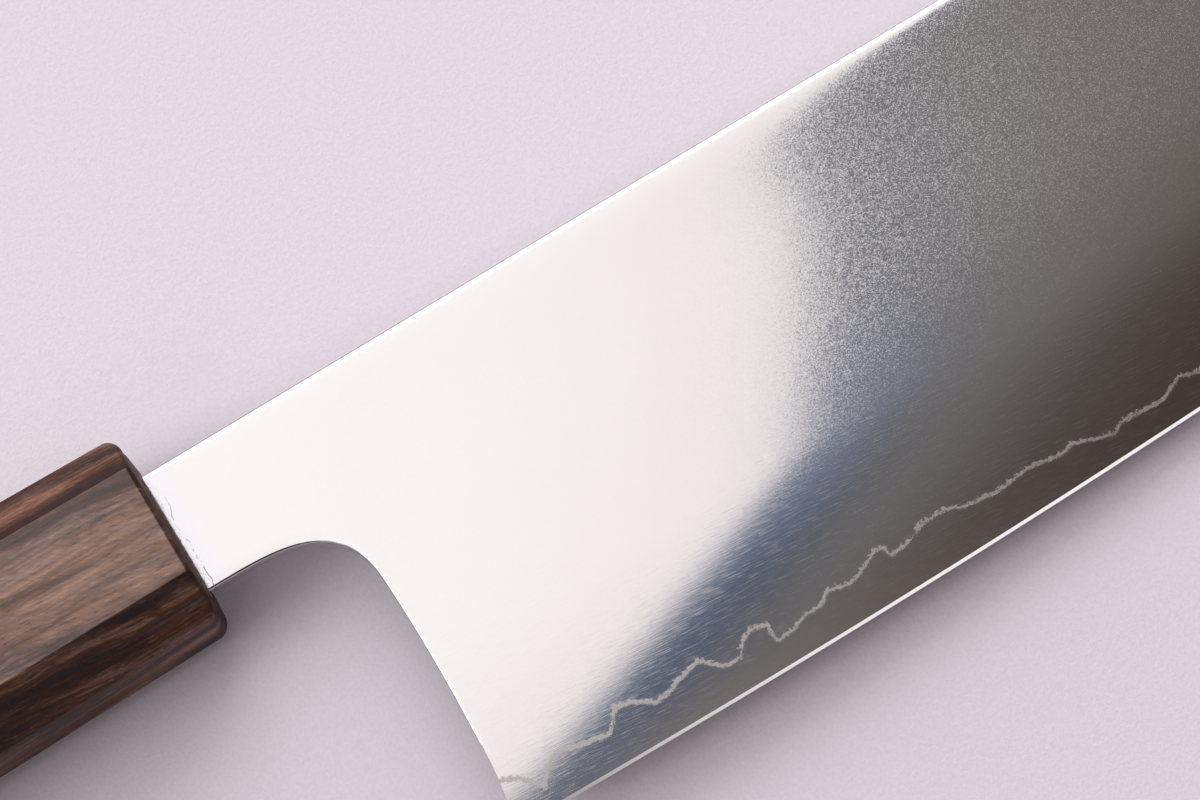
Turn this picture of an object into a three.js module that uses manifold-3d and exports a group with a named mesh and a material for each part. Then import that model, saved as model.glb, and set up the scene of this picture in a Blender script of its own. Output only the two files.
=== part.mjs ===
// A nakiri: a straight-edged vegetable knife with a laminated blade and an octagonal wooden handle.
// The knife lies on its left face. +X runs to the tip, +Y to the spine and +Z out of the right face.
// It is drawn with X = 0 on the front of the handle, Y = 0 on the handle's axis and Z = 0 on the
// middle plane of the blade, and then moved so that the origin is under the middle of its box.
import * as THREE from "three";
import { mergeVertices } from "three/addons/utils/BufferGeometryUtils.js";
import Module from "manifold-3d";

const wasm = await Module();
wasm.setup();

// Driving dimensions of the blade's outline, in millimetres
const BLADE_LENGTH = 165;
const BLADE_HEIGHT = 53.4;
const SPINE_RISE = 7;
const NECK_HEIGHT = 14.4;
const HEEL_FORWARD = 16.5;
const HEEL_RADIUS = 195;
const HEEL_CREST_DROP = 15.6;
const CHOIL_DROP = 9.1;
const CHOIL_START = 2;
const CHOIL_RISE_PULL = 8.5;
const CHOIL_RUN_PULL = 7.7;
const BELLY_RADIUS = 1400;
const BELLY_FROM_HEEL = 45;
const TIP_RADIUS = 18;
const TIP_LEAN = 3;
const TIP_CORNER = 2.5;

// Thickness of the blade and how it is ground
const SPINE_THICKNESS = 2.6;
const TIP_THICKNESS = 1.4;
const FLAT_SLOPE = 0.0075;
const BEVEL_HEIGHT = 19.3;
const EDGE_THICKNESS = 0.28;
const MICRO_BEVEL = 0.6;

// Layers of the blade: a hard core between two bright bond layers and two soft claddings
const CORE_THICKNESS = 0.92;
const CORE_TIP_THICKNESS = 0.5;
const BOND_THICKNESS = 0.06;
const BOND_BAND = 0.7;
const FEATHER_EDGE = 0.03;
const LAYER_BLEND = 14;

// Bends of the forged line: distance from the heel, height above the edge
const LINE_BENDS = [
  [1, 5.3], [2.7, 4.4], [4.1, 2.4], [6.1, 4.3], [7.4, 4.8], [12.6, 3.6], [13.9, 4.8], [14.8, 5.8],
  [18.7, 4.1], [21.7, 4.8], [24.6, 5.5], [26.7, 3.6], [28.5, 3.4], [29.8, 5.3], [32.6, 5.1],
  [33.2, 3.1], [36.8, 3.9], [38.6, 3.9], [39.7, 4.8], [42.3, 4.2], [46.6, 5.9], [47.6, 4.5],
  [49.1, 4.5], [51.8, 5.6], [55.1, 5.7], [58.6, 4.3], [64.6, 4.7], [68.8, 3.9], [70.1, 4.4],
  [74.9, 2.8], [77.1, 3.2], [80.9, 3], [83.7, 4.1], [85.9, 3.3], [90, 4.6], [93.5, 4.2], [96, 5.4],
  [101, 4.4], [104.5, 3.1], [107, 3.6], [110, 5.1], [115.5, 4.6], [118, 3.7], [124, 4.4],
  [127, 5.6], [131, 5], [134, 3.6], [139, 3.9], [143, 4.9], [147.5, 4], [152, 4.7], [157, 3.8],
  [161, 4.5],
];

// The tang hidden in the handle
const TANG_LENGTH = 95;
const TANG_END_HEIGHT = 8;

// The handle: an eight-sided stick that swells to the rear
const HANDLE_LENGTH = 130;
const HANDLE_FRONT_HEIGHT = 22.4;
const HANDLE_FRONT_WIDTH = 19.2;
const HANDLE_FRONT_CHAMFER = 4.8;
const HANDLE_REAR_HEIGHT = 27;
const HANDLE_REAR_WIDTH = 23.2;
const HANDLE_REAR_CHAMFER = 5.8;
const FRONT_EASING = 0.8;
const REAR_EASING = 1.2;

// What holds the tang: adhesive round it, and a seal in the mouth of the slot
const GLUE_LINE = 0.4;
const SEAL_DEPTH = 2;
const SEAL_PROUD = 0.4;
const SEAL_LIP = 0.1;

// How finely round things are divided, and how far a cutting solid runs past what it cuts
const ARC_SEGMENTS = 8;
const GRIND_STATIONS = 12;
const BEVEL_ROWS = 6;
const OVERRUN = 5;

// Places worked out from the sizes above
const spineY = SPINE_RISE;
const neckY = spineY - NECK_HEIGHT;
const heelCrestY = neckY - HEEL_CREST_DROP;
const choilY = neckY - CHOIL_DROP;
const edgeLowY = spineY - BLADE_HEIGHT;
const heelX = heelLineX(edgeLowY);
const bellyX = heelX + BELLY_FROM_HEEL;
const tipX = heelX + BLADE_LENGTH;
const tangMiddleY = (spineY + neckY) / 2;
const slotEndX = -TANG_LENGTH - GLUE_LINE;

// The heel is a shallow arc that leans back to the handle at the edge.
function heelLineX(y) {
  const fromCrest = y - heelCrestY;
  return HEEL_FORWARD - HEEL_RADIUS + Math.sqrt(HEEL_RADIUS ** 2 - fromCrest ** 2);
}

// The cutting edge is a long shallow belly, lowest a little in front of the heel.
function edgeY(x) {
  return edgeLowY + (x - bellyX) ** 2 / (2 * BELLY_RADIUS);
}

// A thickness that falls evenly from the handle to the tip, and stays as it is in the tang.
function tapered(atHandle, atTip, x) {
  const along = Math.max(x, 0) / tipX;
  return atHandle + (atTip - atHandle) * along;
}

// Half the ground thickness at a point of the blade: flat from the spine, then convex to the edge.
function groundHalf(x, y) {
  const spineHalf = tapered(SPINE_THICKNESS, TIP_THICKNESS, x) / 2;
  const flatAt = (level) => spineHalf - FLAT_SLOPE * (spineY - level);
  const below = Math.max(edgeY(x) + BEVEL_HEIGHT - y, 0) / BEVEL_HEIGHT;
  return flatAt(y) - (flatAt(edgeY(x)) - EDGE_THICKNESS / 2) * below ** 2;
}

function coreHalf(x) {
  return tapered(CORE_THICKNESS, CORE_TIP_THICKNESS, x) / 2;
}

// Solids and geometry are turned into each other here, for the cuts.
function solidOf(geometry) {
  geometry.deleteAttribute("normal");
  geometry.deleteAttribute("uv");
  const merged = mergeVertices(geometry);
  return new wasm.Manifold(
    new wasm.Mesh({
      numProp: 3,
      vertProperties: merged.attributes.position.array,
      triVerts: new Uint32Array(merged.index.array),
    }),
  );
}

function geometryOf(solid) {
  const mesh = solid.getMesh();
  const geometry = new THREE.BufferGeometry();
  geometry.setAttribute("position", new THREE.BufferAttribute(mesh.vertProperties, 3));
  geometry.setIndex(new THREE.BufferAttribute(mesh.triVerts, 1));
  return geometry;
}

// A closed skin over cross-sections that follow each other along +X. Each section is {x, ring},
// its ring of [y, z] points turning from +Y to +Z, with every point in sight of the first.
function loft(sections) {
  const count = sections[0].ring.length;
  const positions = sections.flatMap(({ x, ring }) => ring.flatMap(([y, z]) => [x, y, z]));
  const indices = [];
  for (let s = 0; s + 1 < sections.length; s++) {
    for (let j = 0; j < count; j++) {
      const here = s * count + j;
      const beside = s * count + ((j + 1) % count);
      indices.push(here, beside, beside + count, here, beside + count, here + count);
    }
  }
  const last = (sections.length - 1) * count;
  for (let j = 1; j + 1 < count; j++) {
    indices.push(0, j + 1, j);
    indices.push(last, last + j, last + j + 1);
  }
  const geometry = new THREE.BufferGeometry();
  geometry.setAttribute("position", new THREE.Float32BufferAttribute(positions, 3));
  geometry.setIndex(indices);
  return geometry;
}

// The outline of the forged blank with its tang. It runs past the cutting edge, which the grind makes.
function blankOutline() {
  const tangTop = tangMiddleY + TANG_END_HEIGHT / 2;
  const tangFoot = tangMiddleY - TANG_END_HEIGHT / 2;
  const frontX = tipX - TIP_LEAN;
  const cornerX = tipX - TIP_CORNER;
  const footY = edgeLowY - OVERRUN;
  const heelAngle = (y) => Math.asin((y - heelCrestY) / HEEL_RADIUS);
  const shape = new THREE.Shape();
  shape.moveTo(-TANG_LENGTH, tangTop);
  shape.lineTo(-TANG_LENGTH, tangFoot);
  shape.lineTo(0, neckY);
  shape.lineTo(CHOIL_START, neckY);
  shape.bezierCurveTo(
    CHOIL_START + CHOIL_RUN_PULL,
    neckY,
    heelLineX(choilY),
    choilY + CHOIL_RISE_PULL,
    heelLineX(choilY),
    choilY,
  );
  shape.absarc(
    HEEL_FORWARD - HEEL_RADIUS,
    heelCrestY,
    HEEL_RADIUS,
    heelAngle(choilY),
    heelAngle(footY),
    true,
  );
  shape.lineTo(cornerX, footY);
  shape.lineTo(cornerX, edgeY(cornerX));
  shape.quadraticCurveTo(tipX, edgeY(tipX), tipX, edgeY(tipX) + TIP_CORNER);
  shape.lineTo(frontX, spineY - TIP_RADIUS);
  shape.absarc(frontX - TIP_RADIUS, spineY - TIP_RADIUS, TIP_RADIUS, 0, Math.PI / 2, false);
  shape.lineTo(0, spineY);
  return shape;
}

function blankSolid() {
  const depth = SPINE_THICKNESS + 2 * OVERRUN;
  const settings = { depth, bevelEnabled: false, curveSegments: ARC_SEGMENTS };
  const geometry = new THREE.ExtrudeGeometry(blankOutline(), settings);
  geometry.translate(0, 0, -depth / 2);
  return solidOf(geometry);
}

// The space that the grinding wheel leaves: both faces, and the small bevel of the edge.
function grindSolid() {
  const stations = [slotEndX - OVERRUN];
  for (let i = 0; i <= GRIND_STATIONS; i++) stations.push((tipX * i) / GRIND_STATIONS);
  stations.push(tipX + OVERRUN);
  const sections = stations.map((x) => {
    const levels = [spineY + OVERRUN];
    for (let row = 0; row <= BEVEL_ROWS; row++) {
      const rise = MICRO_BEVEL + ((BEVEL_HEIGHT - MICRO_BEVEL) * (BEVEL_ROWS - row)) / BEVEL_ROWS;
      levels.push(edgeY(x) + rise);
    }
    const right = levels.map((y) => [y, groundHalf(x, y)]);
    const left = right.map(([y, z]) => [y, -z]).reverse();
    return { x, ring: [...right, [edgeY(x), 0], ...left] };
  });
  return solidOf(loft(sections));
}

// What lies outside the core on one face, or outside the bond layer when it is raised. Its inner
// face dips and rises with the forged line, and comes out of the blade along that line.
function outsideOf(side, band, lift) {
  const ends = [[slotEndX - OVERRUN - heelX, LINE_BENDS[0][1]]];
  const beyond = [[BLADE_LENGTH + OVERRUN, LINE_BENDS.at(-1)[1]]];
  const bends = LINE_BENDS.filter(([along]) => along < BLADE_LENGTH);
  const sections = [...ends, ...bends, ...beyond].map(([along, height]) => {
    const x = heelX + along;
    const lineY = edgeY(x) + height + band;
    const inner = coreHalf(x) + lift;
    const backY = spineY + OVERRUN;
    const ring = [
      [backY, SPINE_THICKNESS],
      [lineY, SPINE_THICKNESS],
      [lineY, groundHalf(x, lineY) - FEATHER_EDGE],
      [lineY - band + LAYER_BLEND, inner],
      [backY, inner],
    ];
    if (side > 0) return { x, ring };
    const [first, ...rest] = ring.map(([y, z]) => [y, -z]);
    return { x, ring: [first, ...rest.reverse()] };
  });
  return solidOf(loft(sections));
}

// An eight-sided section of the handle, drawn in by an easing at the ends.
function octagon(x, height, width, chamfer, easing) {
  const y = height / 2 - easing;
  const z = width / 2 - easing;
  const cut = chamfer - easing * (2 - Math.SQRT2);
  const ring = [
    [y, z - cut], [y - cut, z], [cut - y, z], [-y, z - cut],
    [-y, cut - z], [cut - y, -z], [y - cut, -z], [y, cut - z],
  ];
  return { x, ring };
}

function handleSection(x, easing) {
  const along = -x / HANDLE_LENGTH;
  const between = (front, rear) => front + (rear - front) * along;
  return octagon(
    x,
    between(HANDLE_FRONT_HEIGHT, HANDLE_REAR_HEIGHT),
    between(HANDLE_FRONT_WIDTH, HANDLE_REAR_WIDTH),
    between(HANDLE_FRONT_CHAMFER, HANDLE_REAR_CHAMFER),
    easing,
  );
}

function handleSolid() {
  return solidOf(
    loft([
      handleSection(-HANDLE_LENGTH, REAR_EASING),
      handleSection(REAR_EASING - HANDLE_LENGTH, 0),
      handleSection(-FRONT_EASING, 0),
      handleSection(0, FRONT_EASING),
    ]),
  );
}

// A section of the tang's slot, larger than the tang by a margin all round.
function slotSection(x, margin) {
  const along = Math.max(-x, 0) / TANG_LENGTH;
  const half = (NECK_HEIGHT + (TANG_END_HEIGHT - NECK_HEIGHT) * along) / 2 + margin;
  const z = SPINE_THICKNESS / 2 + margin;
  const ring = [
    [tangMiddleY + half, -z],
    [tangMiddleY + half, z],
    [tangMiddleY - half, z],
    [tangMiddleY - half, -z],
  ];
  return { x, ring };
}

function slotSolid(fromX, toX) {
  const stations = [fromX, ...[0].filter((x) => x > fromX && x < toX), toX];
  return solidOf(loft(stations.map((x) => slotSection(x, GLUE_LINE))));
}

function sealSolid() {
  return solidOf(
    loft([
      slotSection(-SEAL_DEPTH, GLUE_LINE),
      slotSection(0, GLUE_LINE),
      slotSection(SEAL_PROUD, SEAL_LIP),
    ]),
  );
}

// Finishes
const claddingSteel = { color: 0xb7b5b6, roughness: 0.3, metalness: 1 };
const coreSteel = { color: 0xa3a09f, roughness: 0.26, metalness: 1 };
const bondMetal = { color: 0xdedbd8, roughness: 0.35, metalness: 1 };
const wood = { color: 0x6b5346, roughness: 0.5, metalness: 0 };
const resin = { color: 0x8d7c60, roughness: 0.4, metalness: 0 };
const wax = { color: 0x8a7d70, roughness: 0.45, metalness: 0 };

const knife = new THREE.Group();

function addPiece(name, solid, finish) {
  const mesh = new THREE.Mesh(geometryOf(solid), new THREE.MeshStandardMaterial(finish));
  mesh.name = name;
  knife.add(mesh);
}

// The blade, split into its layers
const blade = blankSolid().intersect(grindSolid());
const sides = { right: 1, left: -1 };
let core = blade;
for (const [name, side] of Object.entries(sides)) {
  const jacket = outsideOf(side, 0, 0);
  const cladding = outsideOf(side, BOND_BAND, BOND_THICKNESS);
  core = core.subtract(jacket);
  addPiece("bond_layer_" + name, blade.intersect(jacket).subtract(cladding), bondMetal);
  addPiece("cladding_" + name, blade.intersect(cladding), claddingSteel);
}
addPiece("core_steel", core, coreSteel);

// The handle and what holds the tang in it
addPiece("handle_body", handleSolid().subtract(slotSolid(slotEndX, OVERRUN)), wood);
addPiece("tang_adhesive", slotSolid(slotEndX, -SEAL_DEPTH).subtract(blade), resin);
addPiece("tang_seal", sealSolid().subtract(blade), wax);

// The origin goes under the middle of the knife's box.
const box = new THREE.Box3().setFromObject(knife);
const middle = box.getCenter(new THREE.Vector3());
knife.position.set(-middle.x, -middle.y, -box.min.z);

const part = new THREE.Group();
part.add(knife);
export default part;
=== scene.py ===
# %% [markdown]
# # A nakiri kitchen knife
# This lesson dresses a finished CAD model of a nakiri, a straight-edged vegetable knife. The CAD
# model gives every piece its place and size: a laminated blade (a hard core, a thin bright bond
# layer and a soft cladding on each side), an eight-sided wooden handle, and the adhesive and seal
# that hold the hidden tang. Here each piece gets the fine surface that the real one has. All new
# surfaces are worked out with numpy as whole arrays.

# %% Load the frame
from types import SimpleNamespace

import bpy
import numpy as np
from mathutils import Matrix, Vector


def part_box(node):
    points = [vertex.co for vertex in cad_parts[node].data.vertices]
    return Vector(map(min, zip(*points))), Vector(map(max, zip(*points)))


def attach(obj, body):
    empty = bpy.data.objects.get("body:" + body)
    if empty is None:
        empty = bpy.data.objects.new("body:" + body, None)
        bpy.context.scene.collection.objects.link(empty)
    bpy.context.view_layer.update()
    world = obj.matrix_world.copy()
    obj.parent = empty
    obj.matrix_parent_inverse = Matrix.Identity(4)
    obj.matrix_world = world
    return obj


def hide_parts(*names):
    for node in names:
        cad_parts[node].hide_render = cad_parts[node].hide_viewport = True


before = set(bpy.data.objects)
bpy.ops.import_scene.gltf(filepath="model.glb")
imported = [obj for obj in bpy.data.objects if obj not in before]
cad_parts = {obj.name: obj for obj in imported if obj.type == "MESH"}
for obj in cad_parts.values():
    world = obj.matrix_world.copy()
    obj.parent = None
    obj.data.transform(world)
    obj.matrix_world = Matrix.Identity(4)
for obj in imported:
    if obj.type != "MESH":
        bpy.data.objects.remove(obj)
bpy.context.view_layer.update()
print("CAD nodes:", ", ".join(sorted(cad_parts)))

# %% [markdown]
# ## Zero point
# A knife maker measures from the front of the handle, where the steel comes out of the wood. So
# the sizes below are millimetres from there: X runs to the tip, Y from the handle's axis to the
# spine, and Z out of the right face. The CAD box of the handle says where that point lies.

# %% Knife millimetres
MILLIMETRE = 0.001
handle_low, handle_high = (np.array(corner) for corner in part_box("handle_body"))
zero = np.array([handle_high[0], *(handle_low + handle_high)[1:] / 2])


def in_frame(points):
    """Places knife millimetres in the frame: zero point + millimetres / 1000."""
    return zero + MILLIMETRE * np.asarray(points, float)


def in_knife(corner):
    """Reads a corner of the frame in knife millimetres: (corner - zero point) * 1000."""
    return (np.array(corner) - zero) / MILLIMETRE


tang_end_x, edge_low_y, _ = in_knife(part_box("core_steel")[0])
tip_x, spine_y, _ = in_knife(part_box("core_steel")[1])
handle_end_x = in_knife(handle_low)[0]
print(f"blade from {tang_end_x:.1f} to {tip_x:.1f} mm, spine at {spine_y:.1f}, edge at {edge_low_y:.1f}")

# %% [markdown]
# ## Camera
# The picture is a close one, taken from above the edge with a long lens. A camera can be set by
# angles, but a place, an aim and the direction that is up in the picture are easier to read and to
# change. The cross products of those directions make the camera's matrix.

# %% Set the camera
CAMERA_PLACE = (13.42, -85.81, 344.37)
CAMERA_AIM = (45.8, -11.39, 0.0)
PICTURE_UP = (0.5155, 0.8263, 0.2270)
LENS = 100.0
SENSOR_WIDTH = 36.0

camera_place = Vector(in_frame(CAMERA_PLACE))
look = (Vector(in_frame(CAMERA_AIM)) - camera_place).normalized()
picture_right = look.cross(Vector(PICTURE_UP)).normalized()
picture_up = picture_right.cross(look)
camera_turn = Matrix((picture_right, picture_up, -look)).transposed()

camera_data = bpy.data.cameras.new("camera")
camera_data.lens = LENS
camera_data.sensor_width = SENSOR_WIDTH
camera_data.sensor_fit = "HORIZONTAL"
camera = bpy.data.objects.new("camera", camera_data)
camera.matrix_world = Matrix.Translation(camera_place) @ camera_turn.to_4x4()
bpy.context.scene.collection.objects.link(camera)
bpy.context.scene.camera = camera
bpy.context.scene.view_settings.view_transform = "Standard"
print("camera", (camera_place - Vector(in_frame(CAMERA_AIM))).length, "m from its aim")

# %% [markdown]
# ## Shader nodes in a line or two
# Every finish below is a small tree of nodes. These helpers add one node at a time. An input is
# either a plain value or another node's output, which is then wired in.

# %% Node helpers


def plug(tree, value, socket):
    """Sets a socket to a value, or wires another node's output into it."""
    if isinstance(value, bpy.types.NodeSocket):
        tree.links.new(value, socket)
    else:
        socket.default_value = value


def node(tree, kind, inputs=None, **settings):
    """Adds one node, sets its options, then plugs its inputs by name or number."""
    made = tree.nodes.new(kind)
    for name, value in settings.items():
        setattr(made, name, value)
    for name, value in (inputs or {}).items():
        plug(tree, value, made.inputs[name])
    return made


def maths(tree, operation, *terms):
    """One sum on values, such as ADD, SUBTRACT or MAXIMUM."""
    made = node(tree, "ShaderNodeMath", dict(enumerate(terms)), operation=operation)
    return made.outputs[0]


def times(tree, *factors):
    """Values multiplied together."""
    product = factors[0]
    for factor in factors[1:]:
        product = maths(tree, "MULTIPLY", product, factor)
    return product


def arrows(tree, operation, *terms):
    """One sum on vectors, such as ADD, MULTIPLY or NORMALIZE."""
    made = node(tree, "ShaderNodeVectorMath", dict(enumerate(terms)), operation=operation)
    return made.outputs["Vector"]


def scaled(tree, vector, factor):
    """A vector or colour times one value."""
    inputs = {0: vector, "Scale": factor}
    return node(tree, "ShaderNodeVectorMath", inputs, operation="SCALE").outputs["Vector"]


def reach_along(tree, vector, way):
    """How far a vector reaches in a direction: their dot product."""
    inputs = {0: vector, 1: way}
    return node(tree, "ShaderNodeVectorMath", inputs, operation="DOT_PRODUCT").outputs["Value"]


def axis(tree, vector, letter):
    """One coordinate of a vector: X, Y or Z."""
    return node(tree, "ShaderNodeSeparateXYZ", {"Vector": vector}).outputs[letter]


print("helpers: plug, node, maths, times, arrows, scaled, reach_along, axis")

# %% Helpers for patterns and colours


def spread(tree, value, low, high, to_low=0.0, to_high=1.0):
    """Carries low..high smoothly to to_low..to_high, and holds the ends."""
    inputs = {"Value": value, 1: low, 2: high, 3: to_low, 4: to_high}
    made = node(tree, "ShaderNodeMapRange", inputs, interpolation_type="SMOOTHSTEP")
    return made.outputs["Result"]


def window(tree, value, borders):
    """Softly 1 between two borders and 0 outside. Each border says where it is 0 and where it is 1."""
    return times(tree, *(spread(tree, value, *border) for border in borders))


def ramp(tree, value, stops):
    """A row of colours along 0..1, given as (place, colour) pairs."""
    made = node(tree, "ShaderNodeValToRGB", {"Fac": value})
    elements = made.color_ramp.elements
    for _ in stops[2:]:
        elements.new(0.5)
    for element, (place, colour) in zip(elements, stops):
        element.position = place
        element.color = (*colour, 1.0)
    return made.outputs["Color"]


def blend(tree, share, first, second, how="MIX"):
    """Mixes two colours, or multiplies or adds them, by a share of 0 to 1."""
    inputs = {0: share, 6: first, 7: second}
    return node(tree, "ShaderNodeMix", inputs, data_type="RGBA", blend_type=how).outputs[2]


def cloud(tree, place, scale, detail=2.0, roughness=0.5):
    """Soft noise of about 0.2 to 0.8, with lumps of about 1 / scale."""
    inputs = {"Vector": place, "Scale": scale, "Detail": detail, "Roughness": roughness}
    return node(tree, "ShaderNodeTexNoise", inputs).outputs["Fac"]


def relief(tree, height, distance=MILLIMETRE, strength=1.0):
    """Turns a height, in millimetres unless a distance is given, into a bent normal."""
    inputs = {"Height": height, "Distance": distance, "Strength": strength}
    return node(tree, "ShaderNodeBump", inputs).outputs["Normal"]


print("helpers: spread, window, ramp, blend, cloud, relief")

# %% [markdown]
# ## Studio light
# Polished steel has hardly any colour of its own: it shows what stands round it. In the picture it
# shows a large soft light on the spine's side, whose border runs slantwise over the blade, and a dim
# room beside it that is bluish next to the border. Lamp panels could do that, but a far sky is
# simpler and lights evenly: its brightness depends on how far a direction lies past that border,
# which bends a little towards the spine. Low down the sky turns into walls, and on the edge's side
# it is shaded, so that the blade throws a shadow there.

# %% Colours of the sky
LIGHT_SIDE = (-0.785, 0.619, 0.014)
SKY_POWER = 2.0
SKY_FROM = -0.30
SKY_TO = 0.50
LIGHT_STOPS = [
    (0.004, (1.48, 1.40, 1.39)),
    (0.020, (1.61, 1.51, 1.50)),
    (0.060, (1.68, 1.59, 1.57)),
    (0.150, (1.77, 1.71, 1.69)),
    (0.220, (1.80, 1.75, 1.73)),
    (0.450, (1.00, 0.97, 0.97)),
]
DIM_STOPS_ABOVE = [
    (-0.30, (0.170, 0.145, 0.130)),
    (-0.15, (0.245, 0.215, 0.195)),
    (-0.07, (0.290, 0.265, 0.245)),
    (-0.045, (0.315, 0.300, 0.300)),
    (-0.020, (0.303, 0.315, 0.355)),
    (-0.006, (0.305, 0.333, 0.405)),
]
DIM_STOPS_BELOW = [
    (-0.30, (0.085, 0.062, 0.052)),
    (-0.15, (0.100, 0.078, 0.068)),
    (-0.11, (0.145, 0.125, 0.115)),
    (-0.065, (0.250, 0.235, 0.230)),
    (-0.045, (0.215, 0.220, 0.242)),
    (-0.025, (0.148, 0.182, 0.272)),
    (-0.006, (0.190, 0.240, 0.360)),
]


def of_power(colour):
    """A colour of the sky as a share of its power, with an alpha of 1."""
    return (*(np.array(colour) / SKY_POWER), 1.0)


def sky_stops(dim_stops):
    """Stops for a ramp: distances past the border carried to 0..1, colours as shares of the power."""
    span = SKY_TO - SKY_FROM
    stops = dim_stops + LIGHT_STOPS
    return [((distance - SKY_FROM) / span, of_power(colour)[:3]) for distance, colour in stops]


print("sky with", len(LIGHT_STOPS) + len(DIM_STOPS_BELOW), "steps from dim to light")

# %% Build the sky
BORDER_BEND = 0.007
BEND_LEVELS = (0.14, 0.24)
BORDER_NOTCH = 0.004
NOTCH_LEVELS = ((0.207, 0.2125), (0.230, 0.220))
ABOVE_LEVELS = (0.085, 0.205)
SHADED_LEVELS = (-0.10, -0.28)
SHADED_SHARE = 0.5
BLACK = (0.0, 0.0, 0.0, 1.0)
EDGE_GLOW = (0.11, 0.085, 0.070)
EDGE_GLOW_LEVELS = ((0.03, -0.06), (-0.25, -0.12))
BLUE_GLOW = (0.045, 0.055, 0.085)
BLUE_LEVELS = ((0.075, 0.105), (0.185, 0.150))
BLUE_DISTANCES = ((-0.050, -0.018), (0.012, 0.0))
BRIGHT_WALL = (0.70, 0.67, 0.71)
DIM_WALL = (0.22, 0.205, 0.205)
WALL_TURN = (-0.45, 0.45)
WALL_TOP = (0.20, 0.45)

world = bpy.data.worlds.new("studio")
bpy.context.scene.world = world
world.use_nodes = True
sky = world.node_tree
sky.nodes.clear()
direction = node(sky, "ShaderNodeTexCoord").outputs["Generated"]
to_spine = axis(sky, direction, "Y")
bend = spread(sky, to_spine, *BEND_LEVELS, 0.0, BORDER_BEND)
notch = times(sky, window(sky, to_spine, NOTCH_LEVELS), BORDER_NOTCH)
to_light = reach_along(sky, direction, LIGHT_SIDE)
past_border = maths(sky, "SUBTRACT", to_light, maths(sky, "ADD", bend, notch))
along_sky = node(sky, "ShaderNodeMapRange", {"Value": past_border, 1: SKY_FROM, 2: SKY_TO})
sky_below = ramp(sky, along_sky.outputs["Result"], sky_stops(DIM_STOPS_BELOW))
sky_above = ramp(sky, along_sky.outputs["Result"], sky_stops(DIM_STOPS_ABOVE))
colour = blend(sky, spread(sky, to_spine, *ABOVE_LEVELS), sky_below, sky_above)
colour = blend(sky, spread(sky, to_spine, *SHADED_LEVELS, 0.0, SHADED_SHARE), colour, BLACK)
colour = blend(sky, window(sky, to_spine, EDGE_GLOW_LEVELS), colour, of_power(EDGE_GLOW), "ADD")
blue_share = times(sky, window(sky, to_spine, BLUE_LEVELS), window(sky, past_border, BLUE_DISTANCES))
colour = blend(sky, blue_share, colour, of_power(BLUE_GLOW), "ADD")
walls = blend(sky, spread(sky, to_spine, *WALL_TURN), of_power(DIM_WALL), of_power(BRIGHT_WALL))
sky_colour = blend(sky, spread(sky, axis(sky, direction, "Z"), *WALL_TOP, 1.0, 0.0), colour, walls)
print("sky of", len(sky.nodes), "nodes")

# %% [markdown]
# ## Lamps and card
# Three smaller lights stand in that sky. One is seen only by the rolled spine and makes its white
# line, one lays a sheen on the handle's broad facet, and a pale card below shows in the honed edge.
# They could be area lamps, but as round spots of the sky they stay out of the picture.

# %% Hang the lamps and the card
LAMP_TINT = np.array([1.0, 0.975, 0.98])
SPINE_LAMP = (0.38, 0.51, 0.775)
SPINE_LAMP_ANGLES = (10.6, 37.0)
SPINE_LAMP_POWER = 3.7
OFF_BLADE_LEVELS = (0.33, 0.50)
HANDLE_LAMP = (-0.69, 0.08, 0.72)
HANDLE_LAMP_ANGLES = (4.3, 14.3)
HANDLE_LAMP_POWER = 6.5
EDGE_CARD = (0.26, -0.39, 0.883)
EDGE_CARD_ANGLES = (4.0, 19.0)
EDGE_CARD_POWER = 1.2
EDGE_CARD_LEVELS = ((-0.25, -0.31), (-0.51, -0.45))


def round_lamp(under, centre, angles, power, keep=1.0):
    """Lays a soft round lamp over the sky: full within the inner angle, gone at the outer one."""
    inner, outer = np.cos(np.radians(angles))
    share = spread(sky, reach_along(sky, direction, centre), outer, inner)
    return blend(sky, times(sky, share, keep), under, of_power(power * LAMP_TINT))


off_blade = spread(sky, to_spine, *OFF_BLADE_LEVELS)
card_band = window(sky, to_spine, EDGE_CARD_LEVELS)
sky_colour = round_lamp(sky_colour, SPINE_LAMP, SPINE_LAMP_ANGLES, SPINE_LAMP_POWER, off_blade)
sky_colour = round_lamp(sky_colour, HANDLE_LAMP, HANDLE_LAMP_ANGLES, HANDLE_LAMP_POWER)
sky_colour = round_lamp(sky_colour, EDGE_CARD, EDGE_CARD_ANGLES, EDGE_CARD_POWER, card_band)
background = node(sky, "ShaderNodeBackground", {"Color": sky_colour, "Strength": SKY_POWER})
node(sky, "ShaderNodeOutputWorld", {"Surface": background.outputs["Background"]})
print("sky with lamps of", len(sky.nodes), "nodes")

# %% [markdown]
# ## Floor
# A knife with a tapered handle can't lie level: it tips until the handle's front edge and the
# blade's tip both touch. The knife keeps the CAD's place, so the floor leans instead, through those
# two points. It is a plain pale sheet of paper with a faint tooth, and a painted fall-off of light
# makes its colour a little paler on the light's side.

# %% Lay the floor
REST_AT_HANDLE = (-0.8, -9.61)
REST_AT_TIP = (177.0, -0.62)
FLOOR_REACH = 3000.0

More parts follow.
